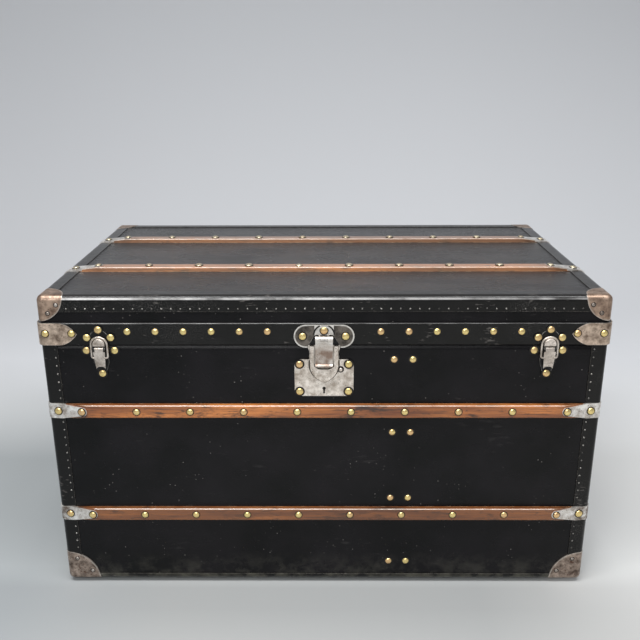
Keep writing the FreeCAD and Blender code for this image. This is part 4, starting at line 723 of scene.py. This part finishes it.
def cloth_box(low, high, radius, closed_low, swell, cuts):
    """Points and outward faces of cloth on a box open above or below. A swell draws in all but its mouth."""
    round_low = Vector((radius, radius, radius if closed_low else 0))
    round_high = Vector((radius, radius, 0 if closed_low else radius))
    mouth = high.z if closed_low else low.z
    across = sorted({side * cut[0] for cut in cuts for side in SIGNS})
    heights = sorted({z for cut in cuts for z in cut[1:] if low.z < z < high.z})
    grids = [grid_places(low[a], high[a], round_low[a], round_high[a], extra)
             for a, extra in enumerate((across, (), heights))]
    core_low, core_high = low + round_low, high - round_high
    index, points, faces = {}, [], []

    def corner(place):
        key = tuple(round(c, KEY_DIGITS) for c in place)
        if key not in index:
            index[key] = len(points)
            core = Vector([min(max(c, a), b) for c, a, b in zip(place, core_low, core_high)])
            out = (Vector(place) - core).normalized()
            wave = (1 + noise.noise(Vector(place) * CLOTH_WAVES)) / 2
            hold = min(1, abs(place[2] - mouth) / CLOTH_HOLD)
            points.append(core + out * (radius - swell * wave * hold))
        return index[key]

    for axis in range(3):
        u, v = (axis + 1) % 3, (axis + 2) % 3
        for at_high in (False, True):
            if axis == 2 and at_high == closed_low:
                continue
            for u0, u1 in zip(grids[u], grids[u][1:]):
                for v0, v1 in zip(grids[v], grids[v][1:]):
                    middle = Vector()
                    middle[u], middle[v] = (u0 + u1) / 2, (v0 + v1) / 2
                    if axis == 1 and not at_high and any(
                            abs(middle.x) < half and z0 < middle.z < z1 for half, z0, z1 in cuts):
                        continue
                    ring = []
                    for a, b in ((u0, v0), (u1, v0), (u1, v1), (u0, v1)):
                        place = [0, 0, 0]
                        place[axis] = high[axis] if at_high else low[axis]
                        place[u], place[v] = a, b
                        ring.append(corner(place))
                    faces.append(tuple(ring if at_high else ring[::-1]))
    return points, faces


def cloth(node, body, finish, low, high, radius, closed_low, thickness, swell,
          inside=False, cuts=()):
    """A stretched sheet in place of a CAD cover, seen from inside or outside its box."""
    points, faces = cloth_box(low, high, radius, closed_low, -swell if inside else swell, cuts)
    if inside:
        faces = [face[::-1] for face in faces]
    made = piece(node + "_sheet", body, points, faces, [finish], replaced=(node,))
    layer = made.modifiers.new("thickness", "SOLIDIFY")
    layer.thickness = thickness - swell
    layer.offset = -1


def make_cloth():
    """Canvas outside and lining inside, on the base and the lid."""
    for body, floor, closed_low, cuts in (("base", "floor_board", True, LOCK_CUTS),
                                          ("lid", "top_board", False, ())):
        low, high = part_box(body + "_canvas")
        cloth(body + "_canvas", body, CANVAS_FINISH, low, high, CANVAS_RADIUS, closed_low,
              CANVAS, CANVAS_SWELL, cuts=cuts)
        low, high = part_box(body + "_lining")
        low = low + Vector((LINING, LINING, LINING if closed_low else 0))
        high = high - Vector((LINING, LINING, 0 if closed_low else LINING))
        cloth(body + "_lining", body, LINING_FINISH, low, high, LINING_RADIUS, closed_low,
              LINING, LINING_SWELL, inside=True)


# Nails

def circle(count, steps):
    """Angles of a full turn in even steps, as many as count says."""
    return [2 * math.pi * i / steps for i in range(count)]


def lathe(profile, sides):
    """Points and faces of a profile of (radius, height) turned about Z, from the axis to a flat foot."""
    points = [Vector((0, 0, profile[0][1]))]
    faces = []
    for radius, height in profile[1:]:
        points += [Vector((radius * math.cos(t), radius * math.sin(t), height)) for t in circle(sides, sides)]
    for i in range(sides):
        faces.append((0, 1 + i, 1 + (i + 1) % sides))
    for ring in range(len(profile) - 2):
        low = 1 + ring * sides
        for i in range(sides):
            j = (i + 1) % sides
            faces.append((low + i, low + sides + i, low + sides + j, low + j))
    points += [p.copy() for p in points[-sides:]]
    faces.append(tuple(reversed(range(len(points) - sides, len(points)))))
    return points, faces


def solids(name):
    """The points of each separate solid of a CAD node."""
    mesh = NODES[name].data
    keys = [tuple(round(c, KEY_DIGITS) for c in v.co) for v in mesh.vertices]
    leader = {key: key for key in keys}

    def lead(key):
        while leader[key] != key:
            leader[key] = leader[leader[key]]
            key = leader[key]
        return key

    for face in mesh.polygons:
        first = lead(keys[face.vertices[0]])
        for index in face.vertices[1:]:
            leader[lead(keys[index])] = first
    groups = {}
    for key in leader:
        groups.setdefault(lead(key), []).append(key)
    return [np.array(group) for _, group in sorted(groups.items())]


def head_seat(points):
    """Where a CAD nail head sits: the middle of its foot, the way it points, its radius and its rise."""
    middle = points.mean(0)
    axis = np.linalg.svd(points - middle)[2][2]
    along = (points - middle) @ axis
    level = (along.min() + along.max()) / 2
    rings = points[along < level], points[along >= level]
    radii = [np.linalg.norm(ring - ring.mean(0), axis=1).max() for ring in rings]
    foot, crown = rings if radii[0] > radii[1] else rings[::-1]
    low = foot.min(0) / 2 + foot.max(0) / 2
    rise = axis if (crown.mean(0) - foot.mean(0)) @ axis > 0 else -axis
    return Vector(low), Vector(rise), max(radii), HEAD_RISE_SHARE * (along.max() - along.min())


def head_profile(radius, rise, rings):
    """A domed head with a short upright rim."""
    rim = rise * HEAD_RIM_SHARE
    profile = [(0, rise)]
    for i in range(1, rings + 1):
        turn = math.pi / 2 * i / rings
        profile.append((radius * math.sin(turn), rim + (rise - rim) * math.cos(turn)))
    profile.append((radius, 0))
    return profile


def grime_and_shade_profile(radius, share):
    """The low dark ring under a head, of dirt and painted shade."""
    return [(0, GRIME_AND_SHADE_RISE), (radius * (1 + share / 2), GRIME_AND_SHADE_RISE), (radius * (1 + share), 0)]


def heads(name, body, seats, finish, replaced=(), grime_and_shade=GRIME_AND_SHADE_SHARE, sides=HEAD_SIDES,
          rings=HEAD_RINGS):
    """One piece with a domed head at every seat, each in a dark ring of dirt and painted shade unless that is
    0.
    """
    chance = random.Random(RANDOM_SEED)
    points, faces, finishes = [], [], []
    for place, out, radius, rise in seats:
        tilt = Matrix.Rotation(chance.uniform(-HEAD_TILT, HEAD_TILT), 4, "X")
        turn = Matrix.Translation(place) @ out.to_track_quat("Z", "Y").to_matrix().to_4x4()
        parts = [(head_profile(radius, rise, rings), turn @ tilt, 0)]
        if grime_and_shade:
            parts.append((grime_and_shade_profile(radius, grime_and_shade), turn, 1))
        for profile, matrix, index in parts:
            start = len(points)
            shape, skin = lathe(profile, sides)
            points += [matrix @ p for p in shape]
            faces += [tuple(start + i for i in face) for face in skin]
            finishes += [index] * len(skin)
    made = piece(name, body, points, faces, [finish, GRIME_AND_SHADE_FINISH], replaced=replaced)
    made.data.polygons.foreach_set("material_index", finishes)


def make_nails():
    """Smooth domed nails and rivets in place of the plain heads."""
    for node, body, finish, grime_and_shade in (
            ("base_slat_nails", "base", BRASS_FINISH, GRIME_AND_SHADE_SHARE),
            ("base_rivets", "base", BRASS_FINISH, WIDE_GRIME_AND_SHADE_SHARE),
            ("lid_band_nails", "lid", BRASS_FINISH, GRIME_AND_SHADE_SHARE),
            ("lid_slat_nails", "lid", DUSTY_FINISH, GRIME_AND_SHADE_SHARE),
            ("lid_rivets", "lid", BRASS_FINISH, GRIME_AND_SHADE_SHARE)):
        seats = [head_seat(points) for points in solids(node)]
        heads(node + "_domed", body, seats, finish, (node,), grime_and_shade)


def around(inset_places):
    """Lines of sight at the four walls: each place is an inset from the nearer corner and a height."""
    half_x, half_y = LID_CORNER.x, LID_CORNER.y
    for inset, z in inset_places:
        for side in SIGNS:
            for end in SIGNS:
                yield Vector((end * (half_x - inset), 0, z)), Vector((0, side, 0))
                yield Vector((0, end * (half_y - inset), z)), Vector((side, 0, 0))


def seats_on(tree, blocked, sights, radius, rise):
    """Seats where the lines of sight meet a surface, left out where something else lies in front of it."""
    seats = []
    for place, out in sights:
        start = place + out
        hit, normal, _, depth = tree.ray_cast(start, -out)
        if hit is None:
            continue
        probes = [start]
        for way in (out.cross(UP), UP):
            probes += [start + way * TACK_ROOM * sign for sign in SIGNS]
        found = [blocked.ray_cast(probe, -out)[3] for probe in probes]
        if any(d is not None and d < depth for d in found):
            continue
        if normal.dot(out) < 0:
            normal = -normal
        seats.append((hit - normal * HEAD_SINK, normal, radius, rise))
    return seats


def evenly(low, high, pitch):
    """Places about a pitch apart, from low to high."""
    count = round((high - low) / pitch)
    return [low + (high - low) * i / count for i in range(count + 1)]


def make_tacks():
    """Rows of small tacks along the trims."""
    lid_rows = [(inset, LID_TACK_Z) for inset in evenly(0, LID_CORNER.x, LID_TACK_PITCH)]
    base_rows = [(BASE_TACK_INSET, z) for z in evenly(BASE_TACK_LOW, BASE_TACK_TOP, BASE_TACK_PITCH)]
    lid_blocks = ("lid_corners", "hinge_lid_leaves", "lid_slat_clamps", "lid_band")
    base_blocks = ("base_corners", "base_slat_clamps", "base_front_slats", "base_back_slats",
                   "hinge_base_leaves")
    for body, rows, blocks in (("lid", lid_rows, lid_blocks), ("base", base_rows, base_blocks)):
        trims = tree_of(body + "_edge_trims")
        seats = seats_on(trims, tree_of(*blocks), around(rows), TACK_RADIUS, TACK_RISE)
        heads(body + "_tacks", body, seats, TACK_FINISH, grime_and_shade=0, sides=TACK_SIDES,
              rings=TACK_RINGS)


def make_corner_rivets():
    """Two rivets on each face of the steel corners."""
    for body, places in (("lid", LID_CORNER_RIVETS), ("base", BASE_CORNER_RIVETS)):
        blocked = tree_of(body + "_slat_clamps")
        seats = seats_on(tree_of(body + "_corners"), blocked, around(places),
                         CORNER_RIVET_RADIUS, CORNER_RIVET_RISE)
        heads(body + "_corner_rivets", body, seats, RIVET_FINISH, grime_and_shade=CORNER_GRIME_AND_SHADE_SHARE)


# Painted shade and dirt

def ribbons(name, body, node, lines):
    """Low closed dark ridges of painted shade and dirt along lines of (x, z) on the front of a node."""
    tree = tree_of(node)
    points, faces = [], []
    for line in lines:
        start = len(points)
        for i, (x, z) in enumerate(line):
            before, after = line[max(i - 1, 0)], line[min(i + 1, len(line) - 1)]
            along = Vector((after[0] - before[0], 0, after[1] - before[1])).normalized()
            across = Vector((along.z, 0, -along.x)) * SHADE_AND_DIRT_WIDTH / 2
            hit = tree.ray_cast(Vector((x, -1, z)), BACKWARD)[0]
            points += [hit - across, hit - BACKWARD * SHADE_AND_DIRT_RISE, hit + across]
        for a in range(start, len(points) - 3, 3):
            faces += [(a, a + 1, a + 4, a + 3), (a + 1, a + 2, a + 5, a + 4), (a + 2, a, a + 3, a + 5)]
        end = len(points)
        faces += [(start + 2, start + 1, start), (end - 3, end - 2, end - 1)]
    piece(name, body, points, faces, [GRIME_AND_SHADE_FINISH], smooth=False)


def arc(start, middle, end, count):
    """Points of a circle's arc through three points."""
    a, b, c = (complex(*p) for p in (start, middle, end))
    w = (c - a) / (b - a)
    centre = a + (b - a) * (w - abs(w) ** 2) / (2j * w.imag)
    radius = abs(a - centre)
    turn = [math.atan2((p - centre).imag, (p - centre).real) for p in (a, c)]
    turns = [turn[0] + (turn[1] - turn[0]) * i / count for i in range(count + 1)]
    return [(centre.real + radius * math.cos(t), centre.imag + radius * math.sin(t)) for t in turns]


def mirrored(line):
    """A line of (x, z) on the other side of the middle."""
    return [(-x, z) for x, z in line]


def make_shade_and_dirt():
    """Painted shade and dirt round the shield, the release button and the hasp's tab."""
    curve = arc((SHIELD_HALF, SHIELD_SHOULDER_Z), SHIELD_BULGE, (0, SHIELD_TIP_Z), SHIELD_STEPS)
    shield = [(SHIELD_HALF, SHIELD_TOP_Z)] + curve
    middle_x, middle_z = BUTTON_MIDDLE
    button = [(middle_x + BUTTON_RADIUS * math.cos(t), middle_z + BUTTON_RADIUS * math.sin(t))
              for t in circle(BUTTON_STEPS + 1, BUTTON_STEPS)]
    ribbons("lock_shade_and_dirt", "base", "lock_plate", [shield, mirrored(shield), button])
    tab = [(TAB_HALF * math.cos(t), TAB_Z + TAB_RISE * math.sin(t))
           for t in (TAB_STEP * i for i in range(TAB_POINTS))]
    ribbons("hasp_shade_and_dirt", "lid", "hasp_plate", [tab, mirrored(tab)])


# Stage

def floor_finish():
    """A pale floor in a few tones, which paint a shadow in front of the trunk and to its left and light to
    its right. Backdrop and right side glow a little for camera and reflections.
    """
    f = Finish("floor")
    x, y, z = f.axes(f.place)
    base = f.blend(f.noise(1.3, detail=5), tone(186, 190, 189), tone(192, 195, 194))
    # Painted shadow on the floor just in front of the trunk.
    near = f.blend(f.levels(y, FRONT_Y), tone(160, 162, 162), tone(184, 186, 185))
    base = f.blend(f.levels(y, NEAR_Y), base, near)
    # Painted shadow on the floor to the left of the trunk.
    left = f.times(f.levels(x, LEFT_X, (0, 0.6)), f.levels(y, LEFT_Y))
    base = f.blend(left, base, tone(150, 156, 160))
    # Painted light on the floor to the right of the trunk.
    base = f.blend(f.levels(x, RIGHT_X, (0, 0.6)), base, tone(212, 211, 208))
    rear = f.levels(y, REAR_Y)
    base = f.blend(rear, base, tone(205, 207, 210))
    rays = f.node("ShaderNodeLightPath").outputs
    seen = f.most(rays["Is Camera Ray"], rays["Is Glossy Ray"], rays["Is Transmission Ray"])
    glow = f.times(seen, rear, f.levels(z, GLOW_Z, (0.27, 0.04)), f.levels(x, GLOW_X, (0.7, 1.0)))
    beside = f.times(f.levels(y, BESIDE_REAR_Y, (0, 0.19)), f.levels(y, BESIDE_FRONT_Y))
    beside = f.times(seen, f.levels(x, BESIDE_X), beside)
    glow = f.reckon("ADD", glow, beside)
    return f.surface(Base_Color=base, Roughness=0.8, Emission_Color=tone(236, 238, 242),
                     Emission_Strength=glow)


def make_stage():
    """A pale floor that curves up into a backdrop."""
    start = FLOOR_BACK - FLOOR_BEND
    line = [(FLOOR_FRONT, 0.0), (start, 0.0)]
    line += [(start + FLOOR_BEND * math.sin(t), FLOOR_BEND - FLOOR_BEND * math.cos(t))
             for t in (math.pi / 2 * i / BEND_STEPS for i in range(1, BEND_STEPS + 1))]
    line.append((FLOOR_BACK, FLOOR_TOP))
    points = [(side * FLOOR_WIDTH / 2, y, z) for y, z in line for side in SIGNS]
    faces = [(2 * i, 2 * i + 1, 2 * i + 3, 2 * i + 2) for i in range(len(line) - 1)]
    mesh = bpy.data.meshes.new("floor")
    mesh.from_pydata(points, [], faces)
    mesh.polygons.foreach_set("use_smooth", [True] * len(faces))
    mesh.materials.append(floor_finish())
    floor = bpy.data.objects.new("floor", mesh)
    bpy.context.scene.collection.objects.link(floor)


def add_lamp(name, place, aim, size, power):
    """A soft light, as wide and deep as size says."""
    data = bpy.data.lights.new(name, "AREA")
    data.shape = "RECTANGLE"
    data.size, data.size_y = size
    data.energy = power
    lamp = bpy.data.objects.new(name, data)
    lamp.location = place
    lamp.rotation_euler = (Vector(aim) - Vector(place)).to_track_quat("-Z", "Y").to_euler()
    bpy.context.scene.collection.objects.link(lamp)


def make_light():
    """Two long soft lights above, a large one from the front, and a dim even surround."""
    world = bpy.data.worlds.new("surround")
    bpy.context.scene.world = world
    world.use_nodes = True
    background = world.node_tree.nodes["Background"]
    background.inputs["Color"].default_value = tone(222, 224, 228)
    background.inputs["Strength"].default_value = SURROUND_STRENGTH
    for lamp in LAMPS:
        add_lamp(*lamp)
    bpy.context.scene.view_settings.view_transform = "Standard"


def make_camera():
    """The photograph's view."""
    level = math.cos(CAMERA_PITCH)
    forward = Vector((math.sin(CAMERA_YAW) * level, math.cos(CAMERA_YAW) * level, -math.sin(CAMERA_PITCH)))
    right = Vector((math.cos(CAMERA_YAW), -math.sin(CAMERA_YAW), 0))
    up = right.cross(forward)
    turned_right = right * math.cos(CAMERA_ROLL) + up * math.sin(CAMERA_ROLL)
    turned_up = up * math.cos(CAMERA_ROLL) - right * math.sin(CAMERA_ROLL)
    data = bpy.data.cameras.new("camera")
    data.lens = CAMERA_LENS
    data.sensor_width = CAMERA_SENSOR
    camera = bpy.data.objects.new("camera", data)
    camera.matrix_world = Matrix((turned_right, turned_up, -forward)).transposed().to_4x4()
    camera.location = CAMERA_PLACE
    bpy.context.scene.collection.objects.link(camera)
    bpy.context.scene.camera = camera


dress_nodes()
make_cloth()
make_nails()
make_tacks()
make_corner_rivets()
make_shade_and_dirt()
make_stage()
make_light()
make_camera()
